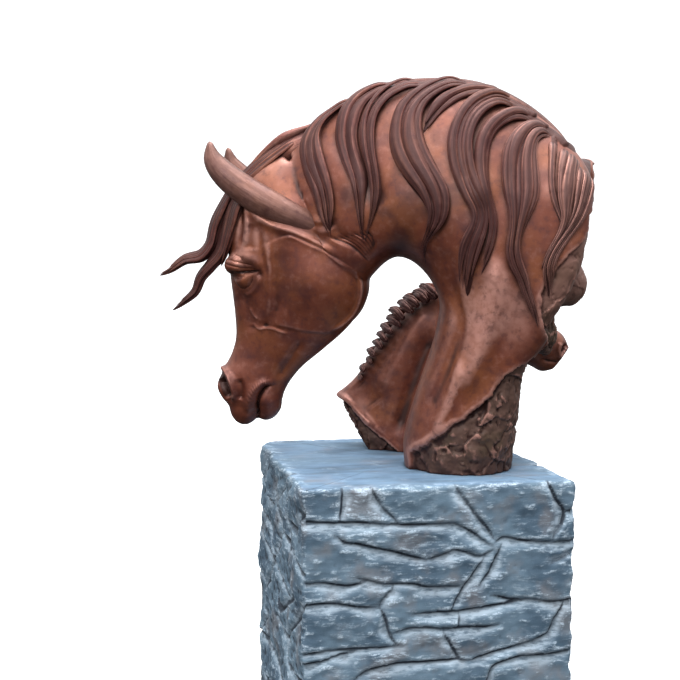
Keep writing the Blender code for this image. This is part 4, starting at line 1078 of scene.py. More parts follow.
@dataclass
class Mane:
    """The mare's mane: long locks on the near side, and a short fringe on the far side."""

    fringe_locks: int = 13
    fringe_length: float = 0.15
    fringe_half_width: float = 0.026
    fringe_aim: tuple = (-0.08, 0.62)
    crest_strands: int = 6
    crest_spread: float = 0.052
    crest_half_width: float = 0.014
    crest_shift: float = 0.02
    crest_drop: float = 0.012
    crest_end: float = 0.03
    crest: tuple = ((0.318, 0.735), (0.265, 0.823), (0.161, 0.918), (0.031, 0.976), (-0.111, 0.986),
                    (-0.249, 0.964), (-0.369, 0.895), (-0.41, 0.845))

    def near_locks(self) -> list[BroadLock]:
        """Return the near side's locks, from the poll to the back of the neck."""
        return [
            BroadLock(3, 0.016, (
                (-0.235, 0.962), (-0.29, 0.938), (-0.345, 0.903), (-0.385, 0.868), (-0.408, 0.835),
                (-0.412, 0.797), (-0.395, 0.745), (-0.368, 0.698), (-0.356, 0.652), (-0.34, 0.612),
                (-0.323, 0.581)
            ), (
                (-0.225, 0.94), (-0.275, 0.92), (-0.321, 0.893), (-0.348, 0.862), (-0.356, 0.827),
                (-0.341, 0.774), (-0.323, 0.723), (-0.314, 0.682), (-0.312, 0.642), (-0.321, 0.581)
            )),
            BroadLock(2, 0.016, (
                (-0.12, 0.978), (-0.18, 0.974), (-0.24, 0.958), (-0.282, 0.932), (-0.301, 0.9),
                (-0.307, 0.862), (-0.307, 0.821), (-0.293, 0.768), (-0.272, 0.722), (-0.261, 0.677),
                (-0.254, 0.637), (-0.24, 0.567)
            ), (
                (-0.11, 0.955), (-0.165, 0.955), (-0.215, 0.938), (-0.25, 0.905), (-0.266, 0.855),
                (-0.263, 0.804), (-0.251, 0.758), (-0.239, 0.717), (-0.24, 0.682), (-0.24, 0.647),
                (-0.237, 0.612), (-0.238, 0.567)
            )),
            BroadLock(3, 0.018, (
                (-0.05, 0.984), (-0.11, 0.984), (-0.165, 0.97), (-0.21, 0.942), (-0.24, 0.899),
                (-0.249, 0.849), (-0.242, 0.798), (-0.227, 0.752), (-0.221, 0.712), (-0.22, 0.672),
                (-0.223, 0.632), (-0.237, 0.567)
            ), (
                (-0.04, 0.955), (-0.085, 0.958), (-0.135, 0.95), (-0.185, 0.925), (-0.214, 0.886),
                (-0.22, 0.843), (-0.213, 0.792), (-0.198, 0.736), (-0.191, 0.696), (-0.194, 0.667),
                (-0.208, 0.632), (-0.226, 0.597), (-0.237, 0.567)
            )),
            BroadLock(4, 0.019, (
                (0.085, 0.955), (0.025, 0.974), (-0.045, 0.977), (-0.11, 0.953), (-0.158, 0.915),
                (-0.173, 0.873), (-0.176, 0.827), (-0.161, 0.781), (-0.134, 0.741), (-0.103, 0.706),
                (-0.082, 0.671), (-0.071, 0.642), (-0.076, 0.607), (-0.091, 0.573), (-0.092, 0.543),
                (-0.087, 0.513)
            ), (
                (0.085, 0.928), (0.035, 0.945), (-0.015, 0.95), (-0.06, 0.932), (-0.091, 0.903),
                (-0.102, 0.867), (-0.098, 0.826), (-0.08, 0.78), (-0.054, 0.735), (-0.033, 0.696),
                (-0.027, 0.661), (-0.032, 0.627), (-0.051, 0.598), (-0.071, 0.583), (-0.081, 0.553),
                (-0.085, 0.513)
            )),
            BroadLock(2, 0.011, (
                (0.12, 0.935), (0.06, 0.958), (0.0, 0.955), (-0.05, 0.93), (-0.082, 0.893), (-0.098, 0.845)
            ), (
                (0.11, 0.915), (0.06, 0.93), (0.01, 0.928), (-0.035, 0.905), (-0.07, 0.868), (-0.092, 0.832)
            )),
            BroadLock(4, 0.019, (
                (0.185, 0.893), (0.125, 0.93), (0.07, 0.94), (0.02, 0.919), (-0.012, 0.875), (-0.028, 0.82),
                (-0.024, 0.765), (-0.006, 0.71), (0.017, 0.671), (0.032, 0.642), (0.025, 0.608),
                (0.006, 0.578), (-0.001, 0.544), (0.001, 0.504), (0.006, 0.47), (0.011, 0.43)
            ), (
                (0.175, 0.868), (0.135, 0.898), (0.09, 0.908), (0.052, 0.888), (0.03, 0.856), (0.022, 0.815),
                (0.026, 0.775), (0.039, 0.73), (0.058, 0.69), (0.071, 0.652), (0.074, 0.613), (0.065, 0.569),
                (0.054, 0.535), (0.044, 0.5), (0.04, 0.471), (0.033, 0.453)
            )),
            BroadLock(2, 0.018, (
                (0.215, 0.862), (0.165, 0.895), (0.115, 0.895), (0.07, 0.868), (0.046, 0.835), (0.038, 0.795),
                (0.04, 0.755), (0.048, 0.71), (0.063, 0.671), (0.071, 0.642), (0.074, 0.603), (0.068, 0.564),
                (0.061, 0.53), (0.052, 0.496)
            ), (
                (0.205, 0.842), (0.165, 0.872), (0.123, 0.873), (0.085, 0.85), (0.066, 0.82), (0.059, 0.785),
                (0.058, 0.75), (0.062, 0.705), (0.072, 0.666), (0.087, 0.632), (0.09, 0.593), (0.083, 0.554),
                (0.07, 0.515), (0.057, 0.491)
            )),
            BroadLock(5, 0.018, (
                (0.255, 0.822), (0.215, 0.862), (0.168, 0.873), (0.13, 0.85), (0.107, 0.813), (0.1, 0.77),
                (0.103, 0.721), (0.111, 0.681), (0.119, 0.652), (0.122, 0.613), (0.116, 0.579), (0.111, 0.55),
                (0.12, 0.516), (0.139, 0.487), (0.15, 0.453), (0.168, 0.414), (0.19, 0.367)
            ), (
                (0.258, 0.79), (0.228, 0.822), (0.197, 0.834), (0.175, 0.815), (0.172, 0.776), (0.177, 0.731),
                (0.182, 0.686), (0.172, 0.647), (0.156, 0.613), (0.146, 0.579), (0.146, 0.545),
                (0.156, 0.516), (0.17, 0.487), (0.176, 0.453), (0.19, 0.419), (0.196, 0.367)
            )),
            BroadLock(1, 0.011, (
                (0.21, 0.84), (0.212, 0.79), (0.212, 0.741), (0.211, 0.701), (0.219, 0.662), (0.232, 0.633),
                (0.24, 0.61)
            ), (
                (0.236, 0.84), (0.231, 0.79), (0.226, 0.741), (0.224, 0.701), (0.231, 0.667), (0.242, 0.638),
                (0.244, 0.61)
            )),
            BroadLock(3, 0.016, (
                (0.252, 0.84), (0.24, 0.792), (0.232, 0.751), (0.228, 0.711), (0.232, 0.672), (0.242, 0.643),
                (0.24, 0.614), (0.225, 0.58), (0.206, 0.546), (0.196, 0.51)
            ), (
                (0.286, 0.808), (0.277, 0.756), (0.272, 0.712), (0.268, 0.668), (0.262, 0.629),
                (0.251, 0.595), (0.229, 0.561), (0.209, 0.531), (0.199, 0.505)
            )),
            BroadLock(4, 0.016, (
                (0.282, 0.803), (0.278, 0.757), (0.273, 0.712), (0.27, 0.668), (0.264, 0.634), (0.248, 0.6),
                (0.22, 0.561), (0.204, 0.526), (0.2, 0.492), (0.209, 0.458), (0.215, 0.438)
            ), (
                (0.312, 0.77), (0.317, 0.729), (0.312, 0.689), (0.302, 0.654), (0.285, 0.619), (0.261, 0.585),
                (0.24, 0.551), (0.228, 0.517), (0.222, 0.482), (0.221, 0.439)
            )),
        ]

    def build_near(self, tree: BVHTree, finish: bpy.types.Material) -> None:
        """Build the near side's locks in three pieces, and the hair along the crest over their roots.

        Args:
            tree: The mare's surface.
            finish: The hair's material.
        """
        locks = self.near_locks()
        groups = {"mane_behind_the_poll": locks[:4], "mane_at_mid_neck": locks[4:7],
                  "mane_at_the_back": locks[7:]}
        seed = 0
        for name, group in groups.items():
            shells = bmesh.new()
            for lock in group:
                HAIR.add_laid_lock(shells, tree, lock, seed)
                seed += 1
            cast_piece(name, welded(name, shells), finish)
        self.build_crest(finish)

    def build_crest(self, finish: bpy.types.Material) -> None:
        """Build the hair that runs along the crest, over the roots of the locks.

        Args:
            finish: The hair's material.
        """
        crest = evenly_spaced(smooth_through(self.crest, 8) * FIGURE_HEIGHT, HAIR.spacing)
        forward = np.gradient(crest, axis=0)
        forward /= np.linalg.norm(forward, axis=1)[:, None]
        share = np.linspace(0, 1, len(crest))
        shells = bmesh.new()
        for number in range(self.crest_strands):
            across = (number + 0.5) / self.crest_strands * 2 - 1
            sway = 0.006 * np.sin(share * 9 + number * 2.3)
            drop = self.crest_drop * (0.5 + abs(across) ** 1.6 * 1.8) + self.crest_end * (2 * share - 1) ** 6
            points = crest + np.column_stack((-forward[:, 1], forward[:, 0])) * drop[:, None]
            aside = self.crest_shift + across * self.crest_spread + sway
            path = np.column_stack((points[:, 0], aside, points[:, 1]))
            outward = np.column_stack((forward[:, 1], 0.8 * across * np.ones(len(crest)), -forward[:, 0]))
            outward /= np.linalg.norm(outward, axis=1)[:, None]
            HAIR.add_strand(shells, path, outward, np.full(len(crest), self.crest_half_width), 30 + number)
        cast_piece("mane_along_the_crest", welded("crest", shells), finish)

    def build_fringe(self, tree: BVHTree, finish: bpy.types.Material) -> None:
        """Build the far side's fringe.

        Args:
            tree: The mare's surface.
            finish: The hair's material.
        """
        crest = smooth_through(self.crest, 8)
        shells = bmesh.new()
        for index in range(self.fringe_locks):
            root = crest[int((0.08 + 0.84 * index / (self.fringe_locks - 1)) * (len(crest) - 1))]
            inward = np.array(self.fringe_aim) - root
            inward /= np.linalg.norm(inward)
            sway = 0.02 * math.sin(index * 2.1)
            middle = root + inward * self.fringe_length * 0.55 + (sway, 0)
            tip = root + inward * self.fringe_length * (1 + 0.2 * math.sin(index * 1.7)) - (sway, 0)
            beside = np.array((-inward[1], inward[0])) * self.fringe_half_width
            lines = [(root + beside * share, middle + beside * share, tip + beside * share * 0.1)
                     for share in (1.0, -1.0)]
            HAIR.add_laid_lock(shells, tree, BroadLock(4, 0.015, *lines), 40 + index, 1)
        cast_piece("mane_on_the_far_side", welded("fringe", shells), finish)


@dataclass
class Forelock:
    """The forelock, blown forward off the brow into two curling tips."""

    locks: tuple = (
        Lock(0.055, 6, ((-0.33, 0.0, 0.85), (-0.44, 0.0, 0.8), (-0.52, 0.0, 0.735),
                        (-0.58, 0.0, 0.64))),
        Lock(0.032, 5, ((-0.4, 0.0, 0.85), (-0.505, -0.02, 0.775), (-0.585, -0.025, 0.69),
                        (-0.628, -0.025, 0.57))),
        Lock(0.028, 4, ((-0.4, 0.02, 0.85), (-0.505, 0.03, 0.775), (-0.58, 0.035, 0.69),
                        (-0.618, 0.03, 0.56))),
        Lock(0.025, 4, ((-0.56, -0.03, 0.735), (-0.6, -0.03, 0.68), (-0.632, -0.03, 0.613),
                        (-0.649, -0.03, 0.56), (-0.678, -0.03, 0.529), (-0.722, -0.03, 0.519),
                        (-0.76, -0.03, 0.494), (-0.794, -0.03, 0.478))),
        Lock(0.023, 4, ((-0.56, -0.045, 0.72), (-0.592, -0.048, 0.639), (-0.613, -0.05, 0.548),
                        (-0.646, -0.045, 0.506), (-0.675, -0.04, 0.474), (-0.692, -0.036, 0.437),
                        (-0.727, -0.032, 0.408), (-0.76, -0.03, 0.386))),
        Lock(0.02, 3, ((-0.535, -0.06, 0.73), (-0.565, -0.07, 0.66), (-0.582, -0.072, 0.6),
                        (-0.618, -0.06, 0.505))),
        Lock(0.022, 3, ((-0.54, 0.05, 0.735), (-0.59, 0.062, 0.612), (-0.618, 0.05, 0.53))),
    )

    def build(self, finish: bpy.types.Material) -> None:
        """Build the forelock.

        Args:
            finish: The hair's material.
        """
        shells = bmesh.new()
        for index, lock in enumerate(self.locks):
            path = evenly_spaced(smooth_through(lock.points) * FIGURE_HEIGHT, HAIR.spacing)
            tangents = np.gradient(path, axis=0)
            outward = np.cross(np.tile((0.0, 1.0, 0.0), (len(path), 1)), tangents)
            outward = outward / np.linalg.norm(outward, axis=1)[:, None]
            outward *= np.sign(-outward[:, :1]) + (outward[:, :1] == 0)
            outward = 0.8 * outward + np.array((0.0, -0.6, 0.0)) * (1 if path[-1, 1] < 0 else -1)
            outward /= np.linalg.norm(outward, axis=1)[:, None]
            HAIR.add_bundle(shells, path, outward, lock.half_width * FIGURE_HEIGHT, lock.strands, 60 + index)
        cast_piece("forelock", welded("forelock", shells), finish)


@dataclass
class Ears:
    """A pair of ears, scooped out along their fronts."""

    name: str
    path: tuple
    half_widths: tuple
    middle: float
    scoop: float = 0.8
    columns: int = 40

    def build(self, finish: bpy.types.Material) -> None:
        """Build both ears.

        Args:
            finish: Their material.
        """
        shells = bmesh.new()
        for side in (1, -1):
            path = smooth_through(self.path, 9) * FIGURE_HEIGHT
            path[:, 1] = self.middle * FIGURE_HEIGHT + path[:, 1] * side
            widths = smooth_through([(width, 0) for width in self.half_widths], 9)[:, 0] * FIGURE_HEIGHT
            lift = np.tile((0.35, side, 0.0), (len(path), 1))
            sides = np.cross(lift, np.gradient(path, axis=0)) * -side
            rows, proud = tube_rows(path, sides, widths, widths * 0.85, self.columns, scoop=self.scoop)
            add_sheet(shells, rows, proud * 0.0)
        mesh = welded(self.name, shells)
        Surface(mesh).mark_raised(RELIEF_ROUNDS, 0.003)
        cast_piece(self.name, mesh, finish)


@dataclass
class UprightMane:
    """The foal's upright mane: thick tufts that lean back along the crest of its neck."""

    tufts: int = 13
    tips: tuple = ((-0.128, 0.452), (-0.16, 0.426), (-0.195, 0.404), (-0.224, 0.36), (-0.242, 0.326),
                   (-0.268, 0.276), (-0.284, 0.236), (-0.302, 0.196))
    roots: tuple = ((-0.076, 0.424), (-0.108, 0.41), (-0.142, 0.388), (-0.18, 0.344), (-0.205, 0.312),
                    (-0.24, 0.266), (-0.262, 0.232), (-0.285, 0.196))
    arc: tuple = ((0.0, 0.98, -0.004), (0.5, 0.62, 0.004), (0.85, 0.22, 0.003), (1.12, 0.02, -0.003))
    side: float = 0.058
    half_width: float = 0.0146

    def build(self, finish: bpy.types.Material) -> None:
        """Build the tufts.

        Args:
            finish: The hair's material.
        """
        tips = shared_out(smooth_through(self.tips), self.tufts)
        roots = shared_out(smooth_through(self.roots), self.tufts)
        shells = bmesh.new()
        for index, (tip, root) in enumerate(zip(tips, roots)):
            grown = 1 - 0.5 * index / self.tufts
            swing = 0.004 * math.sin(index * 2.7)
            for side in (-1, 1):
                rows = []
                for share, outwards, lift in self.arc:
                    spot = root + (tip - root) * share + (swing, lift)
                    rows.append((spot[0], FOAL_W + side * self.side * outwards, spot[1]))
                path = evenly_spaced(smooth_through(rows) * FIGURE_HEIGHT, 0.004)
                outward = np.tile((-0.45, 1.0 * side, 0.35), (len(path), 1))
                outward /= np.linalg.norm(outward, axis=1)[:, None]
                HAIR.add_bundle(shells, path, outward, self.half_width * grown, 3, 80 + index, 2.1)
        cast_piece("foal_upright_mane", welded("tufts", shells), finish)


@dataclass
class Pedestal:
    """The stone-faced pedestal. Each stone overhangs the sloping shoulder of the one below its joint."""

    step: float = 0.005
    corners: tuple = (0.02, 0.02, 0.024, 0.085)
    inset: float = 0.0105
    joint_depth: float = 0.013
    shoulder_width: float = 0.024
    wander: float = 0.005
    stone_swell: float = 0.0065
    stone_span: float = 0.11
    hewn: float = 0.0026
    hewn_span: float = 0.035
    top_round: float = 0.01
    top_rows: int = 24
    seam_widths: tuple = (0.004, 0.0075)
    drawn_height: float = 0.6
    front: tuple = (
        ((-0.345, 0.526), (-0.251, 0.525), (-0.158, 0.518), (-0.07, 0.509), (0.017, 0.512), (0.052, 0.501),
         (0.079, 0.484), (0.106, 0.46), (0.126, 0.447)),
        ((-0.25, 0.525), (-0.243, 0.56), (-0.241, 0.61)),
        ((-0.175, 0.61), (-0.143, 0.556), (-0.122, 0.535), (-0.107, 0.516)),
        ((0.025, 0.61), (0.048, 0.574), (0.089, 0.525), (0.114, 0.493), (0.131, 0.459)),
        ((0.255, 0.61), (0.285, 0.554), (0.302, 0.527), (0.297, 0.501), (0.281, 0.475), (0.276, 0.457)),
        ((0.302, 0.524), (0.345, 0.528)),
        ((0.126, 0.452), (0.155, 0.468), (0.193, 0.461), (0.237, 0.456), (0.307, 0.453), (0.345, 0.455)),
        ((-0.253, 0.49), (-0.235, 0.476), (-0.204, 0.47), (-0.163, 0.46), (-0.121, 0.448), (-0.079, 0.438),
         (-0.037, 0.428)),
        ((-0.037, 0.429), (0.005, 0.436), (0.026, 0.446), (0.058, 0.439), (0.091, 0.427), (0.126, 0.44)),
        ((-0.203, 0.391), (-0.172, 0.382), (-0.131, 0.369), (-0.068, 0.368), (-0.031, 0.358), (0.044, 0.356)),
        ((-0.345, 0.384), (-0.28, 0.381), (-0.234, 0.375), (-0.18, 0.38)),
        ((-0.345, 0.329), (-0.284, 0.334), (-0.244, 0.332), (-0.203, 0.325), (-0.151, 0.316)),
        ((-0.151, 0.316), (-0.146, 0.331), (-0.13, 0.346), (-0.107, 0.368)),
        ((-0.151, 0.316), (-0.14, 0.295), (-0.129, 0.269), (-0.113, 0.236), (-0.103, 0.225)),
        ((-0.067, 0.296), (0.007, 0.296), (0.077, 0.3), (0.126, 0.304), (0.213, 0.312), (0.28, 0.308),
         (0.345, 0.311)),
        ((0.023, 0.3), (0.039, 0.331), (0.06, 0.361), (0.081, 0.386), (0.108, 0.427)),
        ((0.095, 0.355), (0.119, 0.389), (0.129, 0.414), (0.15, 0.455)),
        ((0.046, 0.257), (0.045, 0.297)),
        ((-0.108, 0.259), (-0.077, 0.262), (-0.003, 0.255), (0.046, 0.257), (0.116, 0.258), (0.143, 0.261)),
        ((-0.345, 0.216), (-0.278, 0.222), (-0.227, 0.221), (-0.17, 0.222), (-0.103, 0.223)),
        ((0.003, 0.252), (0.019, 0.233), (0.036, 0.205), (0.052, 0.18), (0.069, 0.178)),
        ((0.069, 0.177), (0.144, 0.192), (0.199, 0.205), (0.243, 0.217), (0.271, 0.232), (0.286, 0.263),
         (0.303, 0.288), (0.312, 0.309)),
        ((-0.211, 0.153), (-0.18, 0.169), (-0.139, 0.176), (-0.044, 0.18), (0.055, 0.18)),
        ((-0.345, 0.193), (-0.288, 0.195), (-0.253, 0.205), (-0.205, 0.212)),
        ((0.113, 0.1), (0.124, 0.146), (0.145, 0.161), (0.189, 0.173), (0.244, 0.177), (0.345, 0.182)),
        ((0.345, 0.428), (0.305, 0.41), (0.283, 0.401)),
        ((0.131, 0.328), (0.169, 0.319), (0.224, 0.313)),
        ((-0.345, 0.11), (-0.26, 0.12), (-0.211, 0.153)),
        ((-0.211, 0.153), (-0.13, 0.112), (-0.02, 0.098), (0.113, 0.1), (0.23, 0.088), (0.345, 0.094)),
        ((-0.25, 0.122), (-0.235, 0.06), (-0.25, -0.01)),
        ((-0.06, 0.102), (-0.045, 0.05), (-0.02, -0.01)),
        ((0.15, 0.097), (0.135, 0.04), (0.16, -0.01)),
        ((-0.245, 0.055), (-0.14, 0.045), (-0.045, 0.05)),
        ((-0.345, 0.002), (-0.25, -0.006), (-0.14, 0.004), (-0.02, -0.004), (0.08, 0.006), (0.16, -0.004),
         (0.26, -0.01), (0.345, 0.002)),
        ((-0.17, 0.002), (-0.15, -0.05), (-0.165, -0.11)),
        ((0.06, 0.004), (0.045, -0.05), (0.07, -0.11)),
        ((0.24, -0.008), (0.262, -0.06), (0.25, -0.11)),
    )
    left: tuple = (
        ((0.161, 0.61), (0.086, 0.554), (0.023, 0.507), (-0.009, 0.486)),
        ((-0.028, 0.56), (-0.037, 0.522), (-0.07, 0.481)),
        ((-0.009, 0.486), (0.057, 0.448), (0.043, 0.405), (-0.022, 0.343), (-0.107, 0.273), (-0.16, 0.221)),
        ((-0.36, 0.56), (-0.263, 0.518), (-0.186, 0.491), (-0.07, 0.481)),
        ((-0.259, 0.365), (-0.145, 0.345), (-0.022, 0.343)),
        ((0.058, 0.442), (0.181, 0.43), (0.294, 0.418), (0.36, 0.405)),
        ((0.176, 0.567), (0.118, 0.522), (0.134, 0.493), (0.181, 0.43)),
        ((-0.36, 0.29), (-0.296, 0.256), (-0.161, 0.245)),
        ((0.242, 0.32), (0.156, 0.282), (0.064, 0.237), (-0.003, 0.268)),
        ((-0.16, 0.221), (-0.196, 0.168), (-0.158, 0.149), (-0.252, 0.082)),
        ((-0.001, 0.211), (0.065, 0.193), (0.187, 0.196)),
        ((-0.36, 0.062), (-0.176, 0.089), (-0.066, 0.085), (0.003, 0.069), (0.13, 0.06), (0.36, 0.075)),
        ((0.36, 0.334), (0.299, 0.285), (0.187, 0.217), (0.159, 0.164), (0.19, 0.137), (0.36, 0.15)),
        ((-0.073, 0.341), (0.061, 0.321), (0.155, 0.293)),
        ((-0.36, 0.435), (-0.222, 0.423), (-0.11, 0.401), (-0.03, 0.36)),
        ((-0.16, 0.56), (-0.19, 0.53), (-0.186, 0.491)),
        ((0.36, 0.54), (0.29, 0.52), (0.25, 0.48), (0.15, 0.48)),
        ((-0.36, -0.015), (-0.26, -0.004), (-0.13, -0.012), (0.02, -0.02), (0.2, -0.01), (0.36, -0.02)),
        ((-0.1, -0.01), (-0.12, -0.06), (-0.1, -0.11)),
        ((0.13, -0.014), (0.15, -0.07), (0.14, -0.11)),
        ((-0.24, 0.082), (-0.255, 0.035), (-0.24, -0.006)),
        ((0.09, 0.062), (0.075, 0.025), (0.09, -0.016)),
    )

    def __post_init__(self) -> None:
        """Take the pedestal's size from the frame."""
        low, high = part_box("stone_pedestal")
        self.width = 2 * min(-low.x, high.x)
        self.depth = 2 * min(-low.y, high.y)
        self.height = high.z

    def outline(self) -> tuple[Array, Array]:
        """Return the points around the pedestal, the first repeated, and the ways that they face."""
        corners = np.array(((-1, -1), (1, -1), (1, 1), (-1, 1)))
        radii = np.array(self.corners)
        centres = corners * (np.array((self.width, self.depth)) / 2 - radii[:, None])
        points, facing = [], []
        for number, (centre, radius) in enumerate(zip(centres, radii)):
            first = math.pi + number * math.pi / 2
            bends = round(radius * math.pi / 2 / self.step)
            for angle in first + np.arange(bends) / bends * math.pi / 2:
                facing.append((math.cos(angle), math.sin(angle)))
                points.append(centre + radius * np.array(facing[-1]))
            straight = np.array((math.cos(first + math.pi / 2), math.sin(first + math.pi / 2)))
            start = centre + radius * straight
            end = centres[(number + 1) % 4] + radii[(number + 1) % 4] * straight
            count = round(np.linalg.norm(end - start) / self.step)
            for step in range(count):
                facing.append(tuple(straight))
                points.append(start + (end - start) * step / count)
        return np.array(points + points[:1]), np.array(facing + facing[:1])

    def jointed(self, places: Array, joints: Sequence[Rows], mirrored: bool,
                seam_width: float) -> tuple[Array, Array, Array, Array]:
        """Measure places on one face against the joints between its stones.

        Args:
            places: The places, from the face's middle and from the floor.
            joints: The joints of the face.
            mirrored: Whether the pattern is mirrored on this face.
            seam_width: How far the dark of a joint reaches.

        Returns:
            For each place its depth and its share of a shoulder, from 0 to 1, how much of a joint lies
            in it, and how far it moves along the face to lie on the joint.
        """
        wander = np.array([(noise.noise(Vector((x, y, 0.3)) * 14), noise.noise(Vector((x, y, 7.1)) * 14))
                           for x, y in places])
        places = places + wander * self.wander
        depth, shoulder, seam = (np.zeros(len(places)) for _ in range(3))
        moves = np.zeros((len(places), 2))
        nearest = np.full(len(places), 0.55 * self.step)
        rise = self.height - self.drawn_height
        for number, joint in enumerate(joints):
            path = smooth_through((np.array(joint) + (0, rise)) * (-1 if mirrored else 1, 1), 3)
            distance, share, side, offset = nearest_on_path(places, path)
            side = side * (-1 if mirrored else 1)
            ends = lengths_along(path)[-1] * np.minimum(share, 1 - share)
            strength = np.clip(0.45 + ends / 0.05, 0, 1)
            wavy = 1 + 0.35 * np.sin(share * 9 + number * 2.2)
            width = self.shoulder_width * wavy * (0.6 + 0.4 * strength)
            slope = np.clip(1 - distance / width, 0, 1)
            overhang = np.clip(1 - distance / self.step, 0, 1)
            below = side < 0
            depth = np.maximum(depth, strength * np.where(below, slope ** 1.15, overhang))
            flank = eased(slope * 2.2) * strength
            upper = 0.5 * eased(1.6 - distance / 0.008) * strength
            shoulder = np.maximum(shoulder, np.where(below, flank, upper))
            close = distance < nearest
            nearest[close] = distance[close]
            moves[close] = -offset[close]
            seam = np.maximum(seam, np.exp(-(distance / seam_width) ** 2) * strength)
        return depth, shoulder, seam, moves

    def build(self, finish: bpy.types.Material) -> None:
        """Build the pedestal as rings up its sides and in across its top.

        Args:
            finish: Its material.
        """
        points, facing = self.outline()
        rows = round(self.height / self.step)
        base = np.array([(x, y, level * self.height / rows) for level in range(rows + 1) for x, y in points])
        normals = np.tile(facing, (rows + 1, 1))
        depth, shoulders, seams = (np.zeros(len(base)) for _ in range(3))
        faces = (((0, -1), 0, self.front, False), ((1, 0), 1, self.left, True),
                 ((0, 1), 0, self.front, True), ((-1, 0), 1, self.left, False))
        for normal, axis, joints, mirrored in faces:
            share = np.clip(normals @ np.array(normal), 0, 1)
            chosen = share > 0.3
            turn = -1 if normal in ((-1, 0), (0, 1)) else 1
            places = np.column_stack((base[chosen, axis] * turn, base[chosen, 2]))
            cut, shoulder, seam, moves = self.jointed(places, joints, mirrored, self.seam_widths[axis])
            depth[chosen] = np.maximum(depth[chosen], cut)
            shoulders[chosen] = np.maximum(shoulders[chosen], shoulder)
            seams[chosen] = np.maximum(seams[chosen], seam)
            up = base[chosen, 2]
            flat = (share[chosen] > 0.999) & (up > self.step) & (up < self.height - self.step)
            base[chosen, axis] += moves[:, 0] * turn * flat
            base[chosen, 2] += moves[:, 1] * flat
        swell = np.array([self.stone_swell * noise.noise(Vector((x, y, z * 1.6)) / self.stone_span)
                          + self.hewn * noise.fractal(Vector((x, y, z * 1.5)) / self.hewn_span, 0.8, 2.1, 3)
                          for x, y, z in base])
        depth = self.inset + swell * (1 + 0.4 * np.abs(normals[:, 0])) + self.joint_depth * depth
        below = np.clip((base[:, 2] - self.height + self.top_round) / self.top_round, 0, 1)
        depth += self.top_round * (1 - np.sqrt(np.maximum(1 - below ** 2, 0)))
        base[:, :2] -= normals * np.maximum(depth, 0.0008)[:, None]
        walls = base.reshape(rows + 1, -1, 3)
        rim = walls[-1]
        inwards = (1 - np.linspace(0, 1, self.top_rows + 1)[1:]) ** 1.3
        top = np.array([rim * (share, share, 1) for share in inwards])
        uneven = np.array([[0.0011 * noise.noise(Vector(point) * 9) - 0.0011 for point in row]
                           for row in top])
        top[:, :, 2] += uneven * np.linspace(1, 0.3, len(top))[:, None]
        bottom = np.array([walls[0] * (share, share, 1) for share in (0.0, 0.5)])
        shells = bmesh.new()
        layer = shells.verts.layers.float.new(SEAM)
        edges = shells.verts.layers.float.new(SHOULDER)
        add_sheet(shells, np.concatenate((bottom, walls, top)))
        shells.verts.ensure_lookup_table()
        first = len(bottom) * len(points)
        for index, (seam, shoulder) in enumerate(zip(seams, shoulders)):
            shells.verts[first + index][layer] = seam
            shells.verts[first + index][edges] = shoulder
        mesh = welded("pedestal", shells)
        Surface(mesh).mark_raised(10, 0.0016)
        finished_piece("stone_faced_pedestal", mesh, finish, "stone_pedestal")


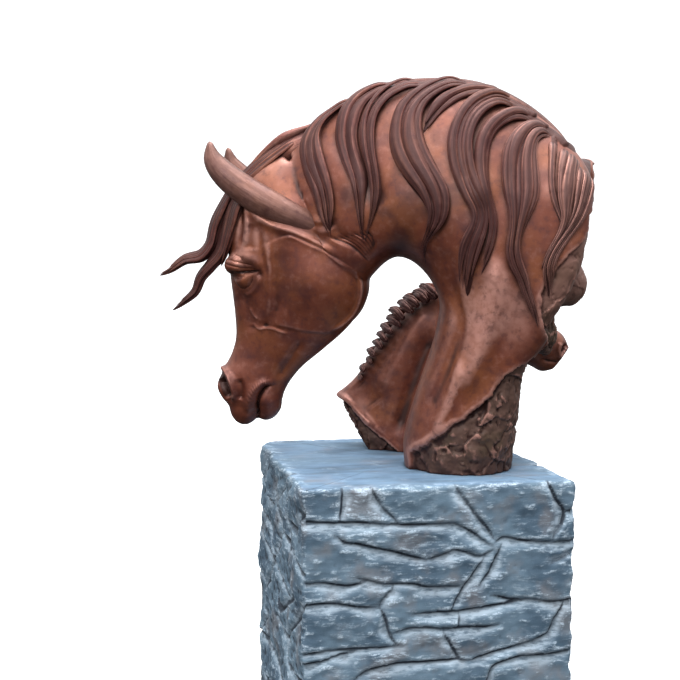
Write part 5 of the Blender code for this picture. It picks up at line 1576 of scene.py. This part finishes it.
class Shading:
    """Short calls that build one material's nodes."""

    def __init__(self, name: str) -> None:
        """Start a material.

        Args:
            name: Its name.
        """
        self.material = bpy.data.materials.new(name)
        self.material.use_nodes = True
        self.tree = self.material.node_tree
        self.shader = self.tree.nodes["Principled BSDF"]
        self.space = self.add("ShaderNodeTexCoord").outputs["Object"]

    def add(self, kind: str, **settings: object) -> bpy.types.Node:
        """Add a node and set its properties."""
        node = self.tree.nodes.new(kind)
        for name, value in settings.items():
            setattr(node, name, value)
        return node

    def feed(self, socket: bpy.types.NodeSocket, value: object) -> None:
        """Link a socket to another, or set its value."""
        if isinstance(value, bpy.types.NodeSocket):
            self.tree.links.new(value, socket)
        else:
            socket.default_value = value

    def number(self, name: str) -> bpy.types.NodeSocket:
        """Return a number stored on the mesh's vertices."""
        return self.add("ShaderNodeAttribute", attribute_name=name).outputs["Fac"]

    def stretched(self, scale: Row, vector: bpy.types.NodeSocket | None = None) -> bpy.types.NodeSocket:
        """Return coordinates scaled along each axis."""
        node = self.add("ShaderNodeMapping")
        self.feed(node.inputs["Vector"], vector or self.space)
        node.inputs["Scale"].default_value = scale
        return node.outputs["Vector"]

    def clouds(self, scale: float, detail: float = 3.0, vector: bpy.types.NodeSocket | None = None,
               rough: float = 0.5) -> bpy.types.NodeSocket:
        """Return a noise pattern."""
        node = self.add("ShaderNodeTexNoise")
        self.feed(node.inputs["Vector"], vector or self.space)
        node.inputs["Scale"].default_value = scale
        node.inputs["Detail"].default_value = detail
        node.inputs["Roughness"].default_value = rough
        return node.outputs["Fac"]

    def ramp(self, value: bpy.types.NodeSocket, low: float, high: float, start: float = 0.0,
             end: float = 1.0) -> bpy.types.NodeSocket:
        """Return a value taken from low..high to start..end, smoothly and clamped."""
        node = self.add("ShaderNodeMapRange", interpolation_type="SMOOTHSTEP")
        self.feed(node.inputs["Value"], value)
        for socket, number in zip(("From Min", "From Max", "To Min", "To Max"), (low, high, start, end)):
            node.inputs[socket].default_value = number
        return node.outputs["Result"]

    def math(self, operation: str, first: object, second: object) -> bpy.types.NodeSocket:
        """Return the result of one operation on two values."""
        node = self.add("ShaderNodeMath", operation=operation)
        self.feed(node.inputs[0], first)
        self.feed(node.inputs[1], second)
        return node.outputs[0]

    def mix(self, share: object, first: object, second: object) -> bpy.types.NodeSocket:
        """Return one colour mixed into another."""
        node = self.add("ShaderNodeMix", data_type="RGBA")
        self.feed(node.inputs["Factor"], share)
        for socket, value in ((node.inputs[6], first), (node.inputs[7], second)):
            self.feed(socket, (*value, 1.0) if isinstance(value, tuple) else value)
        return node.outputs[2]

    def bump(self, height: bpy.types.NodeSocket, strength: float, distance: float,
             under: bpy.types.NodeSocket | None = None) -> bpy.types.NodeSocket:
        """Return a normal bent by a height, in metres, on top of another bump."""
        node = self.add("ShaderNodeBump")
        node.inputs["Strength"].default_value = strength
        node.inputs["Distance"].default_value = distance
        self.feed(node.inputs["Height"], height)
        if under:
            self.feed(node.inputs["Normal"], under)
        return node.outputs["Normal"]

    def crevices(self, distance: float) -> bpy.types.NodeSocket:
        """Return ambient occlusion for painting shade: 0 deep in a crevice and 1 in the open."""
        node = self.add("ShaderNodeAmbientOcclusion", samples=8)
        node.inputs["Distance"].default_value = distance
        return node.outputs["AO"]


@dataclass(frozen=True)
class BronzePatina:
    """Reddish brown waxed patina: darker in hollows, rubbed lighter on high places, painted light and shade.
    """

    name: str
    streaked: bool = False
    # How much the surfaces that face up are painted lighter, as a painted sky sheen.
    painted_sky_sheen: float = 0.34
    coat: float = 0.22
    base: Colour = (0.175, 0.047, 0.026)
    golden: Colour = (0.245, 0.076, 0.029)
    dusky: Colour = (0.07, 0.023, 0.024)
    # Darker patina in the hollows, also used for painted shade in crevices and at the foot.
    hollow: Colour = (0.036, 0.012, 0.009)
    # Rubbed wear on the high places, also used for painted highlights and the painted sky sheen.
    rubbed_and_highlight: Colour = (0.53, 0.262, 0.208)
    core: Colour = (0.12, 0.064, 0.048)
    olive: Colour = (0.088, 0.053, 0.032)
    metallic: float = 0.4
    smooth: float = 0.36
    dull: float = 0.54

    def build(self) -> bpy.types.Material:
        """Build the material."""
        shading = Shading(self.name)
        raised, bare = shading.number(RAISED), shading.number(BARE)
        broad = shading.ramp(shading.clouds(7.0, 3.0), 0.42, 0.68, 0.0, 0.74)
        patchy = shading.ramp(shading.clouds(19.0, 4.0), 0.42, 0.7)
        colour = shading.mix(broad, self.base, self.golden)
        colour = shading.mix(shading.math("MULTIPLY", patchy, 0.55), colour, self.dusky)
        if self.streaked:
            along = shading.add("ShaderNodeTexCoord").outputs["UV"]
            streaks = shading.clouds(1.0, 3.0, shading.stretched((26.0, 5.0, 1.0), along), 0.6)
            colour = shading.mix(shading.ramp(streaks, 0.5, 0.72, 0.0, 0.35), colour, self.rubbed_and_highlight)
            colour = shading.mix(shading.ramp(streaks, 0.46, 0.3, 0.0, 0.45), colour, self.hollow)
            # The hair is painted lighter towards the back of the mane and darker along its middle.
            place = shading.add("ShaderNodeSeparateXYZ")
            shading.feed(place.inputs[0], shading.space)
            colour = shading.mix(shading.ramp(place.outputs["X"], 0.14, 0.34, 0.0, 0.62), colour, self.rubbed_and_highlight)
            middle = shading.math("MULTIPLY", shading.ramp(place.outputs["X"], -0.2, -0.02),
                                  shading.ramp(place.outputs["X"], 0.22, 0.1, 0.0, 0.4))
            colour = shading.mix(middle, colour, self.dusky)
        # Rubbed wear and painted highlight: the high places and the hair's outer faces are painted lighter.
        light = shading.math("MULTIPLY", shading.ramp(raised, 0.15, 1.1),
                             shading.ramp(shading.clouds(60.0, 3.0), 0.3, 0.62, 0.46, 0.76))
        colour = shading.mix(light, colour, self.rubbed_and_highlight)
        # Painted sky sheen: surfaces that face up are painted lighter.
        facing = shading.add("ShaderNodeSeparateXYZ")
        shading.feed(facing.inputs[0], shading.add("ShaderNodeNewGeometry").outputs["Normal"])
        colour = shading.mix(shading.ramp(facing.outputs["Z"], 0.0, 1.0, 0.0, self.painted_sky_sheen), colour, self.rubbed_and_highlight)
        speckle = shading.clouds(48.0, 5.0, None, 0.62)
        colour = shading.mix(shading.ramp(speckle, 0.5, 0.72, 0.0, 0.14), colour, self.rubbed_and_highlight)
        colour = shading.mix(shading.ramp(speckle, 0.48, 0.32, 0.0, 0.45), colour, self.dusky)
        # Darker patina in the hollows; this also paints the shade that the raised values carry.
        colour = shading.mix(shading.ramp(raised, -0.1, -0.85, 0.0, 0.9), colour, self.hollow)
        olive = shading.mix(shading.ramp(shading.clouds(12.0, 4.0), 0.46, 0.7), self.core, self.olive)
        # The rough core: darker in its pits, painted lighter on its high places.
        rough_core = shading.mix(shading.ramp(raised, -1.0, -0.25), self.hollow, olive)
        rough_core = shading.mix(shading.ramp(raised, 0.3, 1.0, 0.0, 0.5), rough_core, self.rubbed_and_highlight)
        # Painted shade: the core is painted darker towards the foot of the casting.
        foot = shading.add("ShaderNodeSeparateXYZ")
        shading.feed(foot.inputs[0], shading.space)
        low = shading.ramp(foot.outputs["Z"], FIGURE_FOOT + 0.1, FIGURE_FOOT, 0.0, 0.65)
        rough_core = shading.mix(low, rough_core, self.hollow)
        # The core is painted lighter higher up.
        upper = shading.ramp(foot.outputs["Z"], FIGURE_FOOT + 0.34, FIGURE_FOOT + 0.44, 0.0, 0.3)
        rough_core = shading.mix(upper, rough_core, self.rubbed_and_highlight)
        colour = shading.mix(bare, colour, rough_core)
        # Painted shade: ambient occlusion darkens the crevices, under the jaw and between the locks.
        colour = shading.mix(shading.ramp(shading.crevices(0.03), 0.85, 0.25, 0.0, 0.84), colour, self.hollow)
        shading.feed(shading.shader.inputs["Base Color"], colour)
        shine = shading.ramp(shading.clouds(30.0, 4.0), 0.3, 0.7, self.smooth, self.dull)
        dull = shading.math("MAXIMUM", shine, shading.math("MULTIPLY", bare, 0.68))
        shading.feed(shading.shader.inputs["Roughness"], dull)
        shading.shader.inputs["Metallic"].default_value = self.metallic
        shading.shader.inputs["Specular IOR Level"].default_value = 0.24
        shading.shader.inputs["Coat Weight"].default_value = self.coat
        shading.shader.inputs["Coat Roughness"].default_value = 0.38
        fine = shading.bump(shading.clouds(420.0, 3.0), 0.25, 0.0006)
        waves = shading.bump(shading.clouds(45.0, 4.0), 0.35, 0.0016, fine)
        if self.streaked:
            waves = shading.bump(streaks, 0.6, 0.002, waves)
        shading.feed(shading.shader.inputs["Normal"], waves)
        return shading.material


@dataclass(frozen=True)
class DryBrushedStone:
    """Blue-grey painted stone, pale dry brushing over the high places, dark joints, painted light and shade.
    """

    name: str
    base: Colour = (0.135, 0.21, 0.28)
    cool: Colour = (0.068, 0.118, 0.172)
    # Dark joints, also used for painted shade in the recesses and crevices.
    joint: Colour = (0.016, 0.024, 0.038)
    # Pale dry brushing, also used for the painted highlight on the sloping shoulders.
    dry_brush_and_highlight: Colour = (0.59, 0.71, 0.82)
    warm: Colour = (0.23, 0.205, 0.2)
    # The top's wiped wash, painted paler as a sky sheen.
    top_wash_and_sky_sheen: Colour = (0.195, 0.32, 0.48)

    def build(self) -> bpy.types.Material:
        """Build the material."""
        shading = Shading(self.name)
        raised, shoulder, seam = (shading.number(name) for name in (RAISED, SHOULDER, SEAM))
        facing = shading.add("ShaderNodeSeparateXYZ")
        shading.feed(facing.inputs[0], shading.add("ShaderNodeNewGeometry").outputs["Normal"])
        colour = shading.mix(shading.ramp(shading.clouds(8.0, 5.0), 0.38, 0.62), self.base, self.cool)
        stains = shading.math("MULTIPLY", shading.ramp(shading.clouds(11.0, 5.0), 0.5, 0.68), 0.5)
        colour = shading.mix(stains, colour, self.warm)
        streaks = shading.clouds(1.0, 7.0, shading.stretched((30.0, 30.0, 130.0)), 0.7)
        wiped = shading.clouds(1.0, 5.0, shading.stretched((7.0, 34.0, 1.0)), 0.6)
        grain = shading.clouds(230.0, 4.0, None, 0.7)
        dry = shading.math("MULTIPLY", shading.ramp(streaks, 0.46, 0.62),
                           shading.ramp(grain, 0.36, 0.6, 0.35, 1.0))
        patches = shading.ramp(shading.clouds(17.0, 4.0), 0.48, 0.68, 0.04, 0.42)
        high = shading.math("MAXIMUM", shading.ramp(raised, 0.1, 0.8, 0.0, 0.9), patches)
        brush = shading.math("MULTIPLY", dry, high)
        # Painted highlight: the sloping shoulder under each joint is painted pale, as if lit from above.
        edge = shading.math("MULTIPLY", shading.math("MULTIPLY", shoulder, 0.64),
                            shading.ramp(streaks, 0.36, 0.56, 0.15, 1.0))
        colour = shading.mix(shading.math("MAXIMUM", brush, edge), colour, self.dry_brush_and_highlight)
        # Painted sky sheen: the top is painted a paler blue, streaked like a wiped wash.
        flat = shading.ramp(facing.outputs["Z"], 0.8, 0.98)
        top = shading.mix(shading.ramp(wiped, 0.34, 0.66, 0.15, 0.7), colour, self.top_wash_and_sky_sheen)
        colour = shading.mix(flat, colour, top)
        # Painted shade: the recesses under the overhangs are darkened.
        colour = shading.mix(shading.ramp(raised, -0.3, -1.0, 0.0, 0.35), colour, self.joint)
        # Painted shade: the recesses of the faces that face sideways are darkened more.
        sideways = shading.ramp(shading.math("ABSOLUTE", facing.outputs["X"], 0.0), 0.6, 0.95, 0.0, 0.75)
        low = shading.math("MULTIPLY", sideways, shading.ramp(raised, -0.05, -0.75))
        colour = shading.mix(low, colour, self.joint)
        # Dark joints, painted darker like the shade under each overhang, unevenly along their length.
        uneven_seam_shade = shading.ramp(shading.clouds(13.0, 3.0), 0.34, 0.56, 0.3, 0.97)
        deep = shading.math("MULTIPLY", shading.ramp(seam, 0.2, 0.7), uneven_seam_shade)
        colour = shading.mix(deep, colour, self.joint)
        # Painted shade: ambient occlusion darkens the crevices.
        colour = shading.mix(shading.ramp(shading.crevices(0.02), 0.75, 0.3, 0.0, 0.8), colour, self.joint)
        shading.feed(shading.shader.inputs["Base Color"], colour)
        shading.feed(shading.shader.inputs["Roughness"], shading.ramp(streaks, 0.3, 0.7, 0.62, 0.86))
        grain = shading.bump(shading.clouds(300.0, 4.0), 0.45, 0.001)
        shading.feed(shading.shader.inputs["Normal"], shading.bump(streaks, 0.45, 0.0022, grain))
        return shading.material


@dataclass
class Studio:
    """A white studio with soft light, and the camera where the photograph was taken."""

    camera_place: Row = (-0.821, -2.871, FIGURE_FOOT + 0.549)
    yaw: float = math.radians(12.73)
    pitch: float = math.radians(4.56)
    roll: float = math.radians(0.52)
    focal_pixels: float = 1149.8
    frame_pixels: float = 680.0
    sensor: float = 36.0
    floor_reach: float = 9.0
    wall_height: float = 7.0
    sweep: float = 1.5
    sky_strength: Row = (0.08, 1.75)

    def backdrop(self) -> None:
        """Build the pale floor that sweeps up into a wall behind the statue."""
        shells = bmesh.new()
        made = bmesh.ops.create_grid(shells, x_segments=2, y_segments=1, size=1.0)
        for vertex in made["verts"]:
            vertex.co = (vertex.co.x * self.floor_reach, vertex.co.y * self.floor_reach / 2 - 1.0, 0.0)
        edge = [e for e in shells.edges if all(v.co.y > 0 for v in e.verts) and len(e.link_faces) == 1
                and abs(e.verts[0].co.y - e.verts[1].co.y) < 1e-6]
        back = self.floor_reach / 2 - 1.0
        bmesh.ops.spin(shells, geom=edge, cent=(0, back, self.sweep), axis=(1, 0, 0), angle=math.pi / 2,
                       steps=16, use_merge=False, use_duplicate=False)
        top = [e for e in shells.edges
               if len(e.link_faces) == 1 and all(abs(v.co.z - self.sweep) < 1e-4 for v in e.verts)]
        raised = bmesh.ops.extrude_edge_only(shells, edges=top)
        moved = [item for item in raised["geom"] if isinstance(item, bmesh.types.BMVert)]
        bmesh.ops.translate(shells, vec=(0, 0, self.wall_height), verts=moved)
        mesh = bpy.data.meshes.new("backdrop")
        shells.to_mesh(mesh)
        shells.free()
        mesh.shade_smooth()
        shading = Shading("pale_paper")
        shading.shader.inputs["Base Color"].default_value = (0.86, 0.86, 0.86, 1.0)
        shading.shader.inputs["Roughness"].default_value = 0.9
        shading.shader.inputs["Emission Color"].default_value = (1.0, 1.0, 1.0, 1.0)
        shading.shader.inputs["Emission Strength"].default_value = 0.6
        mesh.materials.append(shading.material)
        paper = bpy.data.objects.new("backdrop", mesh)
        paper.visible_diffuse = False
        paper.visible_glossy = False
        bpy.context.scene.collection.objects.link(paper)

    def light(self, name: str, place: Row, target: Row, size: float, power: float) -> None:
        """Add one soft square light.

        Args:
            name: Its name.
            place: Where it hangs.
            target: What it points at.
            size: Its side.
            power: Its power in watts.
        """
        lamp = bpy.data.lights.new(name, "AREA")
        lamp.size = size
        lamp.energy = power
        item = bpy.data.objects.new(name, lamp)
        item.location = place
        item.rotation_euler = (Vector(target) - Vector(place)).to_track_quat("-Z", "Y").to_euler()
        bpy.context.scene.collection.objects.link(item)

    def camera(self) -> None:
        """Set the camera up as the photograph's perspective gives it."""
        forward = Vector((math.sin(self.yaw) * math.cos(self.pitch),
                          math.cos(self.yaw) * math.cos(self.pitch), -math.sin(self.pitch)))
        right = Vector((math.cos(self.yaw), -math.sin(self.yaw), 0.0))
        up = right.cross(forward)
        across = right * math.cos(self.roll) + up * math.sin(self.roll)
        over = -right * math.sin(self.roll) + up * math.cos(self.roll)
        lens = bpy.data.cameras.new("photograph")
        lens.sensor_width = self.sensor
        lens.lens = self.sensor * self.focal_pixels / self.frame_pixels
        lens.clip_end = 60.0
        item = bpy.data.objects.new("photograph", lens)
        turned = Matrix((across, over, -forward)).transposed().to_4x4()
        item.matrix_world = Matrix.Translation(self.camera_place) @ turned
        bpy.context.scene.collection.objects.link(item)
        bpy.context.scene.camera = item

    def sky(self) -> None:
        """Light the statue from all around, more from above than from below."""
        world = bpy.data.worlds.new("soft_sky")
        world.use_nodes = True
        tree = world.node_tree
        place = tree.nodes.new("ShaderNodeTexCoord")
        split = tree.nodes.new("ShaderNodeSeparateXYZ")
        level = tree.nodes.new("ShaderNodeMapRange")
        for socket, number in zip(("From Min", "From Max", "To Min", "To Max"),
                                  (-0.3, 1.0, *self.sky_strength)):
            level.inputs[socket].default_value = number
        tree.links.new(place.outputs["Generated"], split.inputs[0])
        tree.links.new(split.outputs["Z"], level.inputs["Value"])
        background = tree.nodes["Background"]
        background.inputs["Color"].default_value = (0.94, 0.97, 1.0, 1.0)
        tree.links.new(level.outputs["Result"], background.inputs["Strength"])
        bpy.context.scene.world = world

    def build(self) -> None:
        """Build the backdrop, the lights, the sky and the camera."""
        self.backdrop()
        self.light("key", (-1.8, -3.2, 3.5), (0.0, 0.0, 1.1), 2.0, 90.0)
        self.light("top", (0.0, -0.3, 4.3), (0.0, 0.0, 1.1), 3.0, 150.0)
        self.sky()
        bpy.context.scene.view_settings.view_transform = "Standard"
        self.camera()


def main() -> None:
    """Build and dress every piece of the statue."""
    logging.basicConfig(level=logging.INFO, format="%(message)s")
    skin = BronzePatina("brown_patina").build()
    # The hair and the ears have their own colours for the painted highlights, sky sheen and shade.
    hair = BronzePatina("brown_patina_on_hair", streaked=True, painted_sky_sheen=0.26, coat=0.08,
                        base=(0.172, 0.052, 0.04), golden=(0.27, 0.1, 0.055), dusky=(0.075, 0.026, 0.028),
                        rubbed_and_highlight=(0.64, 0.33, 0.265), hollow=(0.04, 0.013, 0.012)).build()
    ears = BronzePatina("brown_patina_on_ears", streaked=True, painted_sky_sheen=0.12, base=(0.096, 0.033, 0.022),
                        golden=(0.165, 0.062, 0.036), rubbed_and_highlight=(0.3, 0.155, 0.125)).build()
    stone = DryBrushedStone("dry_brushed_stone").build()
    tree = Mare().build(skin)
    mane = Mane()
    mane.build_near(tree, hair)
    mane.build_fringe(tree, hair)
    Forelock().build(hair)
    Ears("mare_ears", (
        (-0.338, 0.052, 0.598), (-0.378, 0.074, 0.614), (-0.43, 0.09, 0.637), (-0.485, 0.096, 0.664),
        (-0.535, 0.098, 0.692), (-0.592, 0.1, 0.733), (-0.629, 0.096, 0.776), (-0.641, 0.09, 0.823),
    ), (0.02, 0.03, 0.035, 0.038, 0.038, 0.034, 0.025, 0.005), 0.0).build(ears)
    foal = Foal()
    foal.build(skin)
    Ears("foal_ears", ((0.095, 0.04, 0.48), (0.06, 0.055, 0.525), (0.02, 0.06, 0.55),
                       (-0.02, 0.055, 0.56)), (0.018, 0.024, 0.02, 0.005),
         FOAL_W + foal.head_shift).build(skin)
    UprightMane().build(hair)
    Pedestal().build(stone)
    Studio().build()


if __name__ == "__main__":
    main()
